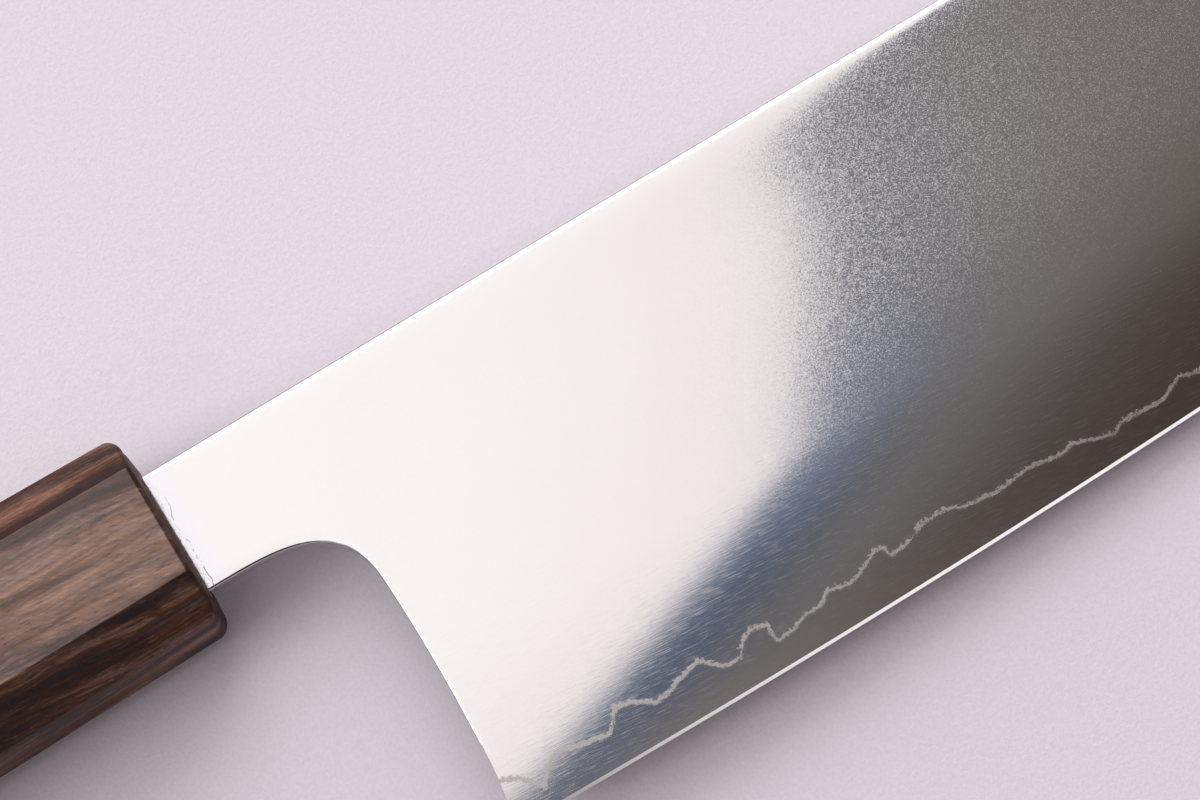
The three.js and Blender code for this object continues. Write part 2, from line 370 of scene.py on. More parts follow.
floor_slope = (REST_AT_TIP[1] - REST_AT_HANDLE[1]) / (REST_AT_TIP[0] - REST_AT_HANDLE[0])
floor_x, floor_y = np.meshgrid([-FLOOR_REACH, FLOOR_REACH], [-FLOOR_REACH, FLOOR_REACH])
floor_z = REST_AT_HANDLE[1] + floor_slope * (floor_x - REST_AT_HANDLE[0])
floor_points = in_frame(np.stack([floor_x, floor_y, floor_z], axis=-1).reshape(-1, 3))
floor_mesh = bpy.data.meshes.new("floor")
floor_mesh.from_pydata(floor_points.tolist(), [], [(0, 1, 3, 2)])
floor = bpy.data.objects.new("floor", floor_mesh)
bpy.context.scene.collection.objects.link(floor)
print(f"floor leans {np.degrees(np.arctan(floor_slope)):.2f} degrees")

# %% Paper on the floor
PAPER_COLOUR = (0.755, 0.696, 0.765, 1.0)
PAPER_SHADE = (0.710, 0.651, 0.720, 1.0)
PAPER_TOOTH = 2.4
PAPER_RELIEF = 0.00008
PAPER_RELIEF_STRENGTH = 0.9
PAPER_ROUGHNESS = 0.85
PAPER_SHINE = 0.2
PAINTED_FALL_OFF_LEVELS = (-60.0, 30.0)
PAINTED_FALL_OFF = (0.948, 1.035)


def new_material(name):
    """An empty material with a Principled shader. Returns it with its tree and the shader."""
    material = bpy.data.materials.new(name)
    material.use_nodes = True
    tree = material.node_tree
    tree.nodes.clear()
    shader = node(tree, "ShaderNodeBsdfPrincipled")
    node(tree, "ShaderNodeOutputMaterial", {"Surface": shader.outputs["BSDF"]})
    return material, tree, shader


def object_millimetres(tree):
    """Object coordinates in millimetres from the zero point."""
    place = node(tree, "ShaderNodeTexCoord").outputs["Object"]
    return scaled(tree, arrows(tree, "SUBTRACT", place, tuple(zero)), 1 / MILLIMETRE)


def paper():
    """Pale matt paper: a fine tooth, and a painted fall-off of light that darkens the colour away from the
    light.
    """
    material, tree, shader = new_material("pale_paper")
    place = object_millimetres(tree)
    tooth = cloud(tree, place, PAPER_TOOTH, 3.0, 0.7)
    tone = blend(tree, spread(tree, tooth, 0.3, 0.7), PAPER_SHADE, PAPER_COLOUR)
    # Painted light: the paper's colour is slowly darkened away from the light's side, a painted fall-off of
    # the lamp's light.
    painted_dimming = spread(tree, axis(tree, place, "Y"), *PAINTED_FALL_OFF_LEVELS, *PAINTED_FALL_OFF)
    plug(tree, scaled(tree, tone, painted_dimming), shader.inputs["Base Color"])
    plug(tree, PAPER_ROUGHNESS, shader.inputs["Roughness"])
    plug(tree, PAPER_SHINE, shader.inputs["Specular IOR Level"])
    plug(tree, relief(tree, tooth, PAPER_RELIEF, PAPER_RELIEF_STRENGTH), shader.inputs["Normal"])
    return material


floor_mesh.materials.append(paper())
print("floor wears", floor_mesh.materials[0].name)

# %% [markdown]
# ## Outline of the blade
# The blade's outline is made of a few true curves: a straight spine, a round tip, a shallow belly
# for the edge, a large circle for the heel and a Bezier curve for the choil, the hollow where a
# finger sits. Each one is a short function, so that every mesh below follows the same lines.

# %% Outline sizes and curves
NECK_HEIGHT = 14.4
HEEL_FORWARD = 16.5
HEEL_RADIUS = 195.0
HEEL_CREST_DROP = 15.6
CHOIL_DROP = 9.1
CHOIL_START = 2.0
CHOIL_RISE_PULL = 8.5
CHOIL_RUN_PULL = 7.7
BELLY_RADIUS = 1400.0
BELLY_FROM_HEEL = 45.0
TIP_RADIUS = 18.0
TIP_LEAN = 3.0
TIP_CORNER = 2.5
TANG_END_HEIGHT = 8.0

neck_y = spine_y - NECK_HEIGHT
tang_middle_y = (spine_y + neck_y) / 2
heel_crest_y = neck_y - HEEL_CREST_DROP
choil_y = neck_y - CHOIL_DROP
tip_arc_x = tip_x - TIP_LEAN - TIP_RADIUS
tip_arc_y = spine_y - TIP_RADIUS


def heel_circle_x(y):
    """The heel leans on a large circle: forward - R + sqrt(R^2 - (y - crest)^2)."""
    return HEEL_FORWARD - HEEL_RADIUS + np.sqrt(HEEL_RADIUS**2 - (y - heel_crest_y) ** 2)


heel_foot_x = heel_circle_x(edge_low_y)
belly_x = heel_foot_x + BELLY_FROM_HEEL


def edge_y(x):
    """The edge is a shallow belly: its lowest level + (distance from the belly)^2 / (2 R)."""
    return edge_low_y + (x - belly_x) ** 2 / (2 * BELLY_RADIUS)


def bezier(controls, share):
    """A Bezier curve: neighbouring control points are blended by the share until one is left."""
    t = np.asarray(share, float)[:, None]
    points = [np.asarray(control, float) for control in controls]
    while len(points) > 1:
        points = [(1 - t) * first + t * second for first, second in zip(points, points[1:])]
    return points[0]


choil_foot_x = heel_circle_x(choil_y)
CHOIL_CONTROLS = [
    (CHOIL_START, neck_y),
    (CHOIL_START + CHOIL_RUN_PULL, neck_y),
    (choil_foot_x, choil_y + CHOIL_RISE_PULL),
    (choil_foot_x, choil_y),
]
print(f"heel {heel_foot_x:.2f}, choil foot {choil_foot_x:.2f}, belly {belly_x:.2f} mm")

# %% Sides of the blade as functions of the level
CHOIL_TURN = 0.62
CURVE_SAMPLES = 200

choil_lower = bezier(CHOIL_CONTROLS, np.linspace(CHOIL_TURN, 1, CURVE_SAMPLES))
heel_levels = np.linspace(choil_y, edge_low_y - 1, CURVE_SAMPLES)[1:]
heel_side = np.concatenate([choil_lower, np.stack([heel_circle_x(heel_levels), heel_levels], axis=1)])

corner_start = (tip_x - TIP_CORNER, edge_y(tip_x - TIP_CORNER))
corner_middle = (tip_x, edge_y(tip_x))
corner_end = (tip_x, edge_y(tip_x) + TIP_CORNER)
corner_curve = bezier([corner_start, corner_middle, corner_end], np.linspace(0, 1, CURVE_SAMPLES))
front_side = np.concatenate([corner_curve, [(tip_x - TIP_LEAN, tip_arc_y)]])


def heel_side_x(y):
    """Where the lower choil and the heel lie at a level."""
    return np.interp(-y, -heel_side[:, 1], heel_side[:, 0])


def front_side_x(y):
    """Where the front and its rounded lower corner lie at a level."""
    return np.interp(y, front_side[:, 1], front_side[:, 0])


print(f"inner corner of the choil at {choil_lower[0].round(2)}")

# %% [markdown]
# ## Forged line
# Where the grind cuts through the layers, the border between cladding and core comes out as a
# wandering line. On the real knife the hammer made it. A smooth noise would look too even, because
# the line runs level and then jumps, so its main bends are listed and a few quick waves of
# different lengths add the fine shiver. The bright band above it is the bond layer, and its width
# changes in the same way.

# %% Line and band
LINE_BENDS = np.array([
    (0.4, 5.3), (2.6, 4.4), (5.3, 2.4), (6.3, 4.4), (7.2, 4.9), (9.7, 4.3), (13.2, 3.7), (13.7, 4),
    (13.9, 5.9), (16.2, 5.3), (19, 4.1), (20.5, 4.3), (21.5, 4.9), (24.1, 5.6), (25.2, 4.8), (27.3, 3.7),
    (29.1, 3.5), (29.3, 3.9), (29.5, 5.4), (30.4, 5.6), (32.3, 5.2), (32.9, 4), (33.8, 3.1), (35.5, 3.3),
    (37.2, 4), (39.1, 3.9), (39.6, 4.9), (42.5, 4.3), (43.6, 4.6), (45.8, 6), (46.9, 5.5), (47.6, 4.5),
    (50.5, 4.9), (51.1, 5.7), (54.4, 5.7), (56.5, 4.9), (60.8, 4.3), (64.5, 4.7), (69.2, 4), (70.2, 4.4),
    (74.2, 3.2), (76, 2.9), (76.4, 3.5), (81.9, 3), (84, 4.2), (86.6, 3.4), (90, 4.6), (93.5, 4.2),
    (96, 5.4), (101, 4.4), (104.5, 3.1), (107, 3.6), (110, 5.1), (115.5, 4.6), (118, 3.7), (124, 4.4),
    (127, 5.6), (131, 5), (134, 3.6), (139, 3.9), (143, 4.9), (147.5, 4), (152, 4.7), (157, 3.8),
    (161, 4.5),
])
LINE_SLANT = 0.7
SLANT_HEIGHT = 4.3
SLANT_REACH = 3.5
SLANT_ENDS = 6.0
SHIVER_ASIDE = 0.09
SHIVER_UPRIGHT = 0.12
BAND_WIDTH = 0.75
BAND_SWELL = 0.40
BAND_DISCS = 15


def lean(x, height):
    """How far a column leans at a height: slant * rise * exp(-(rise / reach)^2), fading at both ends."""
    rise = height - SLANT_HEIGHT
    ends = np.clip((x - heel_foot_x) / SLANT_ENDS, 0, 1) * np.clip((tip_x - x) / SLANT_ENDS, 0, 1)
    return LINE_SLANT * ends * rise * np.exp(-((rise / SLANT_REACH) ** 2))


def shiver(x, lengths, phase):
    """Quick waves of different lengths added up: mean of sin(2 pi x / length + phase * number)."""
    waves = [np.sin(2 * np.pi * x / length + phase * (1 + i)) for i, length in enumerate(lengths)]
    return np.mean(waves, axis=0)


def line_height(x):
    """Height of the forged line above the edge: the bends, with a sideways and an upright shiver."""
    aside = x + SHIVER_ASIDE * shiver(x, (1.3, 2.1, 0.83), 1.0)
    height = np.interp(aside - heel_foot_x, LINE_BENDS[:, 0], LINE_BENDS[:, 1])
    return height + SHIVER_UPRIGHT * shiver(x, (0.71, 1.13, 1.9, 0.53), 2.3)


def band_height(x):
    """Height of the band's upper border: the top of discs of the band's width, rolled along the line."""
    heights = []
    for aside in np.linspace(-BAND_WIDTH, BAND_WIDTH, BAND_DISCS):
        near = x + aside
        width = BAND_WIDTH + BAND_SWELL * shiver(near, (9.7, 5.3, 3.1), 0.7)
        heights.append(line_height(near) + np.sqrt(np.maximum(width**2 - aside**2, 0)))
    return np.max(heights, axis=0)


probe = np.linspace(20, 170, 600)
widths = band_height(probe) - line_height(probe)
print(f"band is {widths.min():.2f} to {widths.max():.2f} mm high")

# %% [markdown]
# ## Plan of the blade
# One grid of points covers the whole blade, and every layer is cut from it, so that the layers meet
# point on point. Columns run from the end of the tang to the tip, rows from the spine to the edge.
# Rows below the neck begin only at the heel, which makes the grid L-shaped, and the inner corner of
# that L sits in the choil's bend. Between four known edges, a Coons patch fills in the points.

# %% Rows and columns
TANG_COLUMNS = 16
STRAIGHT_COLUMNS = 6
CHOIL_COLUMNS = 40
BLADE_COLUMNS = 760
NECK_ROWS = 14
FACE_ROWS = 26
BAND_ROWS = 3
CORE_ROWS = 7
HONED_ROWS = 2
HONED_HEIGHT = 0.35
SPINE_CORNER_X = 14.0
FIRST_COLUMN = 0.5
FIRST_ROW_SHARE = 0.045
ROW_CROWDING = 1.4

neck_columns = TANG_COLUMNS + STRAIGHT_COLUMNS + CHOIL_COLUMNS
blade_run = tip_x - heel_foot_x
inner_shares = np.linspace(FIRST_COLUMN, blade_run - FIRST_COLUMN, BLADE_COLUMNS - 1) / blade_run
across = np.concatenate([[0.0], inner_shares, [1.0]])
crowded = np.linspace(0, 1, NECK_ROWS) ** ROW_CROWDING
down = np.concatenate([[0.0], FIRST_ROW_SHARE + (1 - FIRST_ROW_SHARE) * crowded])


def between(first, last, shares):
    """Points on a straight line: first + share * (last - first)."""
    return np.asarray(first) + np.asarray(shares)[:, None] * (np.asarray(last) - np.asarray(first))


def coons(top, bottom, left, right, shares_across, shares_down):
    """Top blended to bottom, plus left blended to right, minus the blend of the four corners."""
    s = shares_across[None, :, None]
    t = shares_down[:, None, None]
    upright = (1 - t) * top[None] + t * bottom[None]
    sideways = (1 - s) * left[:, None] + s * right[:, None]
    upper_corners = (1 - s) * top[0] + s * top[-1]
    lower_corners = (1 - s) * bottom[0] + s * bottom[-1]
    return upright + sideways - (1 - t) * upper_corners - t * lower_corners


print(f"{neck_columns} columns to the heel and {BLADE_COLUMNS} along the blade")

# %% Neck
choil_corner = choil_lower[0]
spine_corner = np.array([SPINE_CORNER_X, spine_y])
front_corner = np.array([tip_x - TIP_LEAN, tip_arc_y])
tang_half = TANG_END_HEIGHT / 2
tang_shares = np.linspace(0, 1, TANG_COLUMNS + 1)[:-1]
straight_shares = np.linspace(0, 1, STRAIGHT_COLUMNS + 1)[:-1]
spine_shares = np.linspace(0, 1, STRAIGHT_COLUMNS + CHOIL_COLUMNS + 1)
neck_under = np.concatenate([
    between((tang_end_x, tang_middle_y - tang_half), (0, neck_y), tang_shares),
    between((0, neck_y), (CHOIL_START, neck_y), straight_shares),
    bezier(CHOIL_CONTROLS, np.linspace(0, CHOIL_TURN, CHOIL_COLUMNS + 1)),
])
neck_top = np.concatenate([
    between((tang_end_x, tang_middle_y + tang_half), (0, spine_y), tang_shares),
    between((0, spine_y), spine_corner, spine_shares),
])
tang_end = between(neck_top[0], neck_under[0], down)
neck_end = between(spine_corner, choil_corner, down)
neck_across = np.linspace(0, 1, neck_columns + 1)
neck_plan = coons(neck_top, neck_under, tang_end, neck_end, neck_across, down)
print("neck grid", neck_plan.shape[:2])

# %% Upper face
EIGHTH_TURN = np.pi / 4

spine_straight = tip_arc_x - SPINE_CORNER_X
spine_reach = across * (spine_straight + TIP_RADIUS * EIGHTH_TURN)
tip_angle = np.maximum(spine_reach - spine_straight, 0) / TIP_RADIUS
spine_run = np.stack([
    SPINE_CORNER_X + np.minimum(spine_reach, spine_straight) + TIP_RADIUS * np.sin(tip_angle),
    tip_arc_y + TIP_RADIUS * np.cos(tip_angle),
], axis=1)
lower_angle = EIGHTH_TURN * (1 + down)
tip_run = np.stack([
    tip_arc_x + TIP_RADIUS * np.sin(lower_angle),
    tip_arc_y + TIP_RADIUS * np.cos(lower_angle),
], axis=1)
middle_run = between(choil_corner, front_corner, across)
upper_plan = coons(spine_run, middle_run, neck_end, tip_run, across, down)
print("upper face grid", upper_plan.shape[:2])

# %% Lower face, band, core and edge
SETTLING_TURNS = 8


def level_row(height):
    """One row: columns shared out from heel to front lean, y = edge + height. A few turns settle it."""
    column = heel_foot_x + across * blade_run
    for _ in range(SETTLING_TURNS):
        x = column + lean(column, height(column))
        y = edge_y(x) + height(column)
        column = heel_side_x(y) + across * (front_side_x(y) - heel_side_x(y))
    return np.stack([x, y, column], axis=1)


def middle_height(x):
    """Height above the edge of the straight row from the choil to the tip's round."""
    share = (x - choil_corner[0]) / (front_corner[0] - choil_corner[0])
    return choil_corner[1] + share * (front_corner[1] - choil_corner[1]) - edge_y(x)


def honed_height(x):
    """The top of the small honed bevel."""
    return np.full_like(x, HONED_HEIGHT)


def rows_between(upper, lower, count):
    """Rows that blend one height function into another, without the first."""
    shares = np.linspace(0, 1, count + 1)[1:]
    return [level_row(lambda x, t=t: (1 - t) * upper(x) + t * lower(x)) for t in shares]


lower_rows = np.array([
    *rows_between(middle_height, band_height, FACE_ROWS),
    *rows_between(band_height, line_height, BAND_ROWS),
    *rows_between(line_height, honed_height, CORE_ROWS),
    *rows_between(honed_height, np.zeros_like, HONED_ROWS),
])
neck_row = len(down) - 1
band_row = neck_row + FACE_ROWS
line_row = band_row + BAND_ROWS
honed_row = line_row + CORE_ROWS
last_row = neck_row + len(lower_rows)
last_column = neck_columns + BLADE_COLUMNS

plan = np.zeros((last_row + 1, last_column + 1, 2))
plan[: neck_row + 1, : neck_columns + 1] = neck_plan
plan[: neck_row + 1, neck_columns:] = upper_plan
plan[neck_row + 1 :, neck_columns:] = lower_rows[..., :2]
column_x = plan[..., 0].copy()
column_x[neck_row + 1 :, neck_columns:] = lower_rows[..., 2]
row_of_cell, column_of_cell = np.indices((last_row, last_column))
in_blade = (row_of_cell < neck_row) | (column_of_cell >= neck_columns)
print("plan of", in_blade.sum(), "cells, band from row", band_row, "to", line_row)

# %% [markdown]
# ## Folds in the plan
# Where the forged line jumps, its columns lean over and a few cells of the grid fold over their
# neighbours, which would show as dark slivers in the steel. A coarser line would not fold, but it
# would lose the jumps. So only the points near a folded cell are drawn towards the middle of their
# two neighbours in the row, again and again, until no cell is turned over.

# %% Untangle the plan
UNTANGLE_TURNS = 80
UNTANGLE_ROWS = 3
UNTANGLE_COLUMNS = 2
LEAST_CORNER = 1e-4


def turned_over(grid):
    """Cells with a corner that bends the wrong way: down x across is not positive there."""
    across_step = np.diff(grid, axis=1)
    down_step = np.diff(grid, axis=0)
    worst = np.full(in_blade.shape, np.inf)
    for row in (0, 1):
        for column in (0, 1):
            along = across_step[row : row + last_row]
            below = down_step[:, column : column + last_column]
            worst = np.minimum(worst, below[..., 0] * along[..., 1] - below[..., 1] * along[..., 0])
    return (worst <= LEAST_CORNER) & in_blade & (row_of_cell > neck_row)


def near_points(cells):
    """True for the points a few rows and columns round the cells that are True, borders left out."""
    points = np.zeros(plan.shape[:2], bool)
    rows, columns = np.nonzero(cells)
    for row in range(-UNTANGLE_ROWS, UNTANGLE_ROWS + 2):
        for column in range(-UNTANGLE_COLUMNS, UNTANGLE_COLUMNS + 2):
            points[(rows + row).clip(0, last_row), (columns + column).clip(0, last_column)] = True
    points[: neck_row + 2] = False
    points[honed_row:] = False
    points[:, : neck_columns + 1] = False
    points[:, -1] = False
    return points


folds_before = turned_over(plan).sum()
for _ in range(UNTANGLE_TURNS):
    moving = near_points(turned_over(plan))
    beside = (np.roll(plan, 1, axis=1) + np.roll(plan, -1, axis=1)) / 2
    plan[moving] = (plan[moving] + beside[moving]) / 2
print("cells turned over:", folds_before, "before and", turned_over(plan).sum(), "after")

# %% [markdown]
# ## Thickness of the layers
# Seen from the end, the blade is flat from the spine down and then ground convex to the edge, with
# a narrow honed bevel. The polishing wheel rolls the face off a little at the spine. Under the
# cladding the bond layer follows the core and comes out of the face at the forged line.

# %% Heights of every surface
SPINE_THICKNESS = 2.6
TIP_THICKNESS = 1.4
FLAT_SLOPE = 0.0075
BEVEL_HEIGHT = 19.3
EDGE_THICKNESS = 0.28
KEEN_EDGE = 0.01
CORE_THICKNESS = 0.92
CORE_TIP_THICKNESS = 0.5
BOND_THICKNESS = 0.06
FEATHER = 0.004
LAYER_BLEND = 14.0
ROLL_OFF = 0.054
ROLL_REACH = 0.9
HOLLOW_STEP = 0.035
HOLLOW_DROP = 5.5
HOLLOW_REACH = 4.5


def tapered(at_handle, at_tip, x):
    """Falls evenly from the handle to the tip and stays as it is in the tang."""
    return at_handle + (at_tip - at_handle) * np.maximum(x, 0) / tip_x


def ground_half(x, y):
    """Half the thickness: a flat that narrows evenly, less a square law below the top of the bevel."""
    spine_half = tapered(SPINE_THICKNESS, TIP_THICKNESS, x) / 2
    flat = spine_half - FLAT_SLOPE * (spine_y - y)
    flat_at_edge = spine_half - FLAT_SLOPE * (spine_y - edge_y(x))
    below = np.maximum(edge_y(x) + BEVEL_HEIGHT - y, 0) / BEVEL_HEIGHT
    return flat - (flat_at_edge - EDGE_THICKNESS / 2) * below**2


def face_half(x, y):
    """The finished face: the grind, less a slight hollow and the spine's roll, then the honed bevel."""
    ground = ground_half(x, np.maximum(y, edge_y(x) + HONED_HEIGHT))
    hollow = HOLLOW_STEP * (np.tanh((y - spine_y + HOLLOW_DROP) / HOLLOW_REACH) - 1)
    rolled = ground + hollow - ROLL_OFF * np.exp((y - spine_y) / ROLL_REACH)
    honed = np.clip((y - edge_y(x)) / HONED_HEIGHT, 0, 1)
    return KEEN_EDGE / 2 + (rolled - KEEN_EDGE / 2) * honed


def layer_half(x, y, line, inside):
    """An inner border: a feather's depth under the face at its line, then blending to its depth inside.

    A column that leans may pass under its own line, so the border is also kept a feather's depth down.
    """
    height = line(column_x)
    line_x = column_x + lean(column_x, height)
    line_y = edge_y(line_x) + height
    share = np.clip((y - edge_y(x) - height) / LAYER_BLEND, 0, 1)
    border = (1 - share) * (face_half(line_x, line_y) - FEATHER) + share * inside
    return np.minimum(border, face_half(x, y) - FEATHER)


plan_x, plan_y = plan[..., 0], plan[..., 1]
core_half = tapered(CORE_THICKNESS, CORE_TIP_THICKNESS, plan_x) / 2
face = face_half(plan_x, plan_y)
under_cladding = layer_half(plan_x, plan_y, band_height, core_half + BOND_THICKNESS)
under_bond = layer_half(plan_x, plan_y, line_height, core_half)
row_of_point = np.indices(plan_x.shape)[0]
bond_face = np.where(row_of_point < band_row, under_cladding, face)
core_face = np.where(row_of_point < line_row, under_bond, face)
print(f"cladding is {(face - under_cladding)[0, neck_columns]:.2f} mm thick at the spine")

# %% [markdown]
# ## A layer of steel as a closed slab
# Each layer is the space between two surfaces over the same plan. Solidify could give a thickness,
# but not one that changes from place to place, and a Bevel modifier would round the forged line as
# well. So the border is found from the quads, and a quarter round is carried along it where the
# real edge is eased: the spine, the neck and the choil are softened by hand on a good knife.

# %% Border of a layer


def grid_quads(cells):
    """Quads of a point grid for the cells that are True, anticlockwise seen from above."""
    rows, columns = np.nonzero(cells)
    width = cells.shape[1] + 1
    corner = rows * width + columns
    return np.stack([corner, corner + width, corner + width + 1, corner + 1], axis=1)


def border_edges(quads, count):
    """Edges that only one quad uses, in the direction that keeps the face on their left."""
    edges = np.concatenate([quads[:, [i, (i + 1) % 4]] for i in range(4)])
    forward = edges[:, 0] * count + edges[:, 1]
    backward = edges[:, 1] * count + edges[:, 0]
    return edges[~np.isin(forward, backward)]


def border_normals(points, border):
    """At each border point, the mean of the outward normals of its two edges."""
    step = points[border[:, 1]] - points[border[:, 0]]
    outward = np.stack([step[:, 1], -step[:, 0]], axis=1) / np.linalg.norm(step, axis=1)[:, None]
    normals = np.zeros_like(points)
    np.add.at(normals, border[:, 0], outward)
    np.add.at(normals, border[:, 1], outward)
    return normals / np.maximum(np.linalg.norm(normals, axis=1), 1e-9)[:, None]


print("border of the whole plan:", len(border_edges(grid_quads(in_blade), plan_x.size)), "edges")

# %% Slab from two surfaces
ROUND_STEPS = 4


def slab(cells, top, bottom, easing):
    """Points, faces and end caps of a closed layer, and where in the grid each point of its face lies.

    A border point p with outward normal n and easing e has a quarter round: p - n e (1 - sin a) at
    top - e (1 - cos a), and then a wall to the underside. With no easing the wall drops straight.
    """
    used, quads = np.unique(grid_quads(cells), return_inverse=True)
    quads = quads.reshape(-1, 4)
    flat = plan.reshape(-1, 2)[used]
    top, bottom, easing = (values.reshape(-1)[used] for values in (top, bottom, easing))
    count = len(used)
    border = border_edges(quads, count)
    normals = border_normals(flat, border)
    eased = np.zeros(count, bool)
    eased[border] = True
    eased &= easing > 0
    easing = np.where(eased, easing, 0)

    drawn_in = flat - normals * easing[:, None]
    points = [np.column_stack([drawn_in, top]), np.column_stack([flat, bottom])]
    for angle in np.linspace(0, np.pi / 2, ROUND_STEPS + 1)[1:]:
        ring = flat - normals * (easing * (1 - np.sin(angle)))[:, None]
        points.append(np.column_stack([ring, top - easing * (1 - np.cos(angle))])[eased])

    place = np.cumsum(eased) - 1
    rings = 2 * count + place[:, None] + eased.sum() * np.arange(ROUND_STEPS)
    chains = np.column_stack([np.arange(count), rings, count + np.arange(count)])
    soft = eased[border].all(axis=1)
    first, second = chains[border[soft, 0]], chains[border[soft, 1]]
    rounds = np.stack([first[:, :-1], first[:, 1:], second[:, 1:], second[:, :-1]], axis=-1)
    begin, end = border[~soft].T
    walls = np.stack([begin, begin + count, end + count, end], axis=1)
    starts = np.setdiff1d(border[soft, 0], border[soft, 1])
    ends = np.setdiff1d(border[soft, 1], border[soft, 0])
    caps = [*chains[ends].tolist(), *chains[starts][:, ::-1].tolist()]
    under = quads[:, ::-1] + count
    faces = np.concatenate([quads, under, rounds.reshape(-1, 4), walls])
    grid_places = np.full(sum(map(len, points)), -1)
    grid_places[:count] = used
    return np.concatenate(points), faces, caps, grid_places


print("slab: face, underside, rounded or straight border")

# %% Cut the layers
SPINE_EASING = 0.40
NECK_EASING = 0.38
CHOIL_EASING = 0.14
EASING_ROOM = 0.42
THIN_LAYER = 0.15
HEEL_MARGIN = 0.5
HIDDEN_FROM = -1.0

under_neck = (plan_x < HEEL_FORWARD + HEEL_MARGIN) & (plan_y < 0)
choil_share = np.clip((plan_x - CHOIL_START) / (HEEL_FORWARD - CHOIL_START), 0, 1)
neck_easing = NECK_EASING + (CHOIL_EASING - NECK_EASING) * choil_share
cladding_room = face - under_cladding
cladding_easing = np.minimum(np.where(under_neck, neck_easing, SPINE_EASING), EASING_ROOM * cladding_room)
cladding_easing[(cladding_room < THIN_LAYER) | (plan_x < HIDDEN_FROM)] = 0
no_easing = np.zeros_like(face)

cladding_layer = slab(in_blade & (row_of_cell < band_row), face, under_cladding, cladding_easing)
bond_layer = slab(in_blade & (row_of_cell < line_row), bond_face, under_bond, no_easing)
core_layer = slab(in_blade, core_face, -core_face, no_easing)
print("layers:", [len(layer[0]) for layer in (cladding_layer, bond_layer, core_layer)], "points")

# %% [markdown]
# ## Blade pieces
# The right layers are made first, and the left ones are their mirror images. Two attributes are
# kept on every point, because the finish follows them: the height above the edge, along which the
# grinding marks run, and the gap to the forged line. A mirror shows every unevenness of a mesh, so
# the lower face doesn't take its normals from the leaning cells: they come from the face's formula.

# %% Put a piece into the scene
CREASE = np.radians(32)


def new_piece(name, points, faces, node_name, slot, material):
    """A smooth mesh piece at the origin, creased at real edges, that stands for a CAD node."""
    mesh = bpy.data.meshes.new(name)
    mesh.from_pydata(in_frame(points).tolist(), [], faces)
    mesh.shade_smooth()
    mesh.set_sharp_from_angle(angle=CREASE)
    mesh.materials.append(material)
    piece = bpy.data.objects.new(name, mesh)
    bpy.context.scene.collection.objects.link(piece)
    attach(piece, "root")
    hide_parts(node_name)
    return piece


def keep_values(piece, name, values):
    """Stores one number on each point of a piece, for its material to read."""
    attribute = piece.data.attributes.new(name, "FLOAT", "POINT")
    attribute.data.foreach_set("value", np.asarray(values, np.float32))


print("pieces crease at", round(np.degrees(CREASE)), "degrees")

# %% Distance from the forged line, and true normals
LINE_TOP = 8.5
LINE_NEAR = 2.0
LINE_STEPS = 81
SMALL_STEP = 0.001
CORNER_INSET = 0.05


def line_distance(x, height):
    """Shortest way to the forged line, up to two millimetres: the least over stretches of it nearby."""
    distance = np.full_like(x, LINE_NEAR)
    low = height < LINE_TOP
    for step in np.linspace(-LINE_NEAR, LINE_NEAR, LINE_STEPS):
        column = x[low] + step
        level = line_height(column)
        away = np.hypot(column + lean(column, level) - x[low], level - height[low])
        distance[low] = np.minimum(distance[low], away)
    return distance


def true_normals(x, y):
    """The face's own normals, (-dz/dx, -dz/dy, 1), from the rise of its formula over a small step."""
    slope_x = (face_half(x + SMALL_STEP, y) - face_half(x - SMALL_STEP, y)) / (2 * SMALL_STEP)
    slope_y = (face_half(x, y + SMALL_STEP) - face_half(x, y - SMALL_STEP)) / (2 * SMALL_STEP)
    normals = np.stack([-slope_x, -slope_y, np.ones_like(x)], axis=-1)
    return normals / np.linalg.norm(normals, axis=-1, keepdims=True)


def set_true_normals(piece, layer, first_row, side):
    """Gives the quads of the lower face true normals, taken just inside each corner.

    A normal of zero leaves a corner as it is, so all other faces keep theirs.
    """
    points, faces, _, grid_places = layer
    rows, columns = np.divmod(grid_places[faces], plan.shape[1])
    shown = (rows.min(axis=1) >= first_row) & (columns.min(axis=1) > neck_columns)
    shown &= columns.max(axis=1) < last_column
    corner = points[faces][..., :2]
    inside = corner + CORNER_INSET * (corner.mean(axis=1, keepdims=True) - corner)
    at_corners = true_normals(inside[..., 0], inside[..., 1]) * (1, 1, side)
    at_corners[~shown] = 0
    normals = np.zeros((len(piece.data.loops), 3))
    normals[: 4 * len(faces)] = at_corners[:, ::side].reshape(-1, 3)
    piece.data.normals_split_custom_set(normals)


probe_normals = true_normals(probe, edge_y(probe) + LINE_NEAR)
print("near the edge the face leans by up to", np.abs(probe_normals[:, 1]).max().round(3))

# %% Make a steel piece


def crease_along(piece, rows, row):
    """Makes the edges sharp whose two points both lie on this row of the grid."""
    mesh = piece.data
    ends = np.empty(2 * len(mesh.edges), np.int32)
    mesh.edges.foreach_get("vertices", ends)
    sharp = np.empty(len(mesh.edges), bool)
    mesh.attributes["sharp_edge"].data.foreach_get("value", sharp)
    sharp |= (rows[ends.reshape(-1, 2)] == row).all(axis=1)
    mesh.attributes["sharp_edge"].data.foreach_set("value", sharp)


def steel_piece(name, layer, side, first_row, node_name, slot, material):
    """One layer of the blade on one side: side 1 is as drawn, side -1 its mirror image."""
    points, faces, caps, grid_places = layer
    turned = [*faces[:, ::side].tolist(), *(cap[::side] for cap in caps)]
    piece = new_piece(name, points * (1, 1, side), turned, node_name, slot, material)
    height = points[:, 1] - edge_y(points[:, 0])
    keep_values(piece, "edge_height", height)
    keep_values(piece, "line_distance", line_distance(points[:, 0], height))
    for row in (band_row, line_row, honed_row):
        crease_along(piece, grid_places // plan.shape[1], row)
    set_true_normals(piece, layer, first_row, side)
    print(name, len(points), "points,", len(faces), "quads")


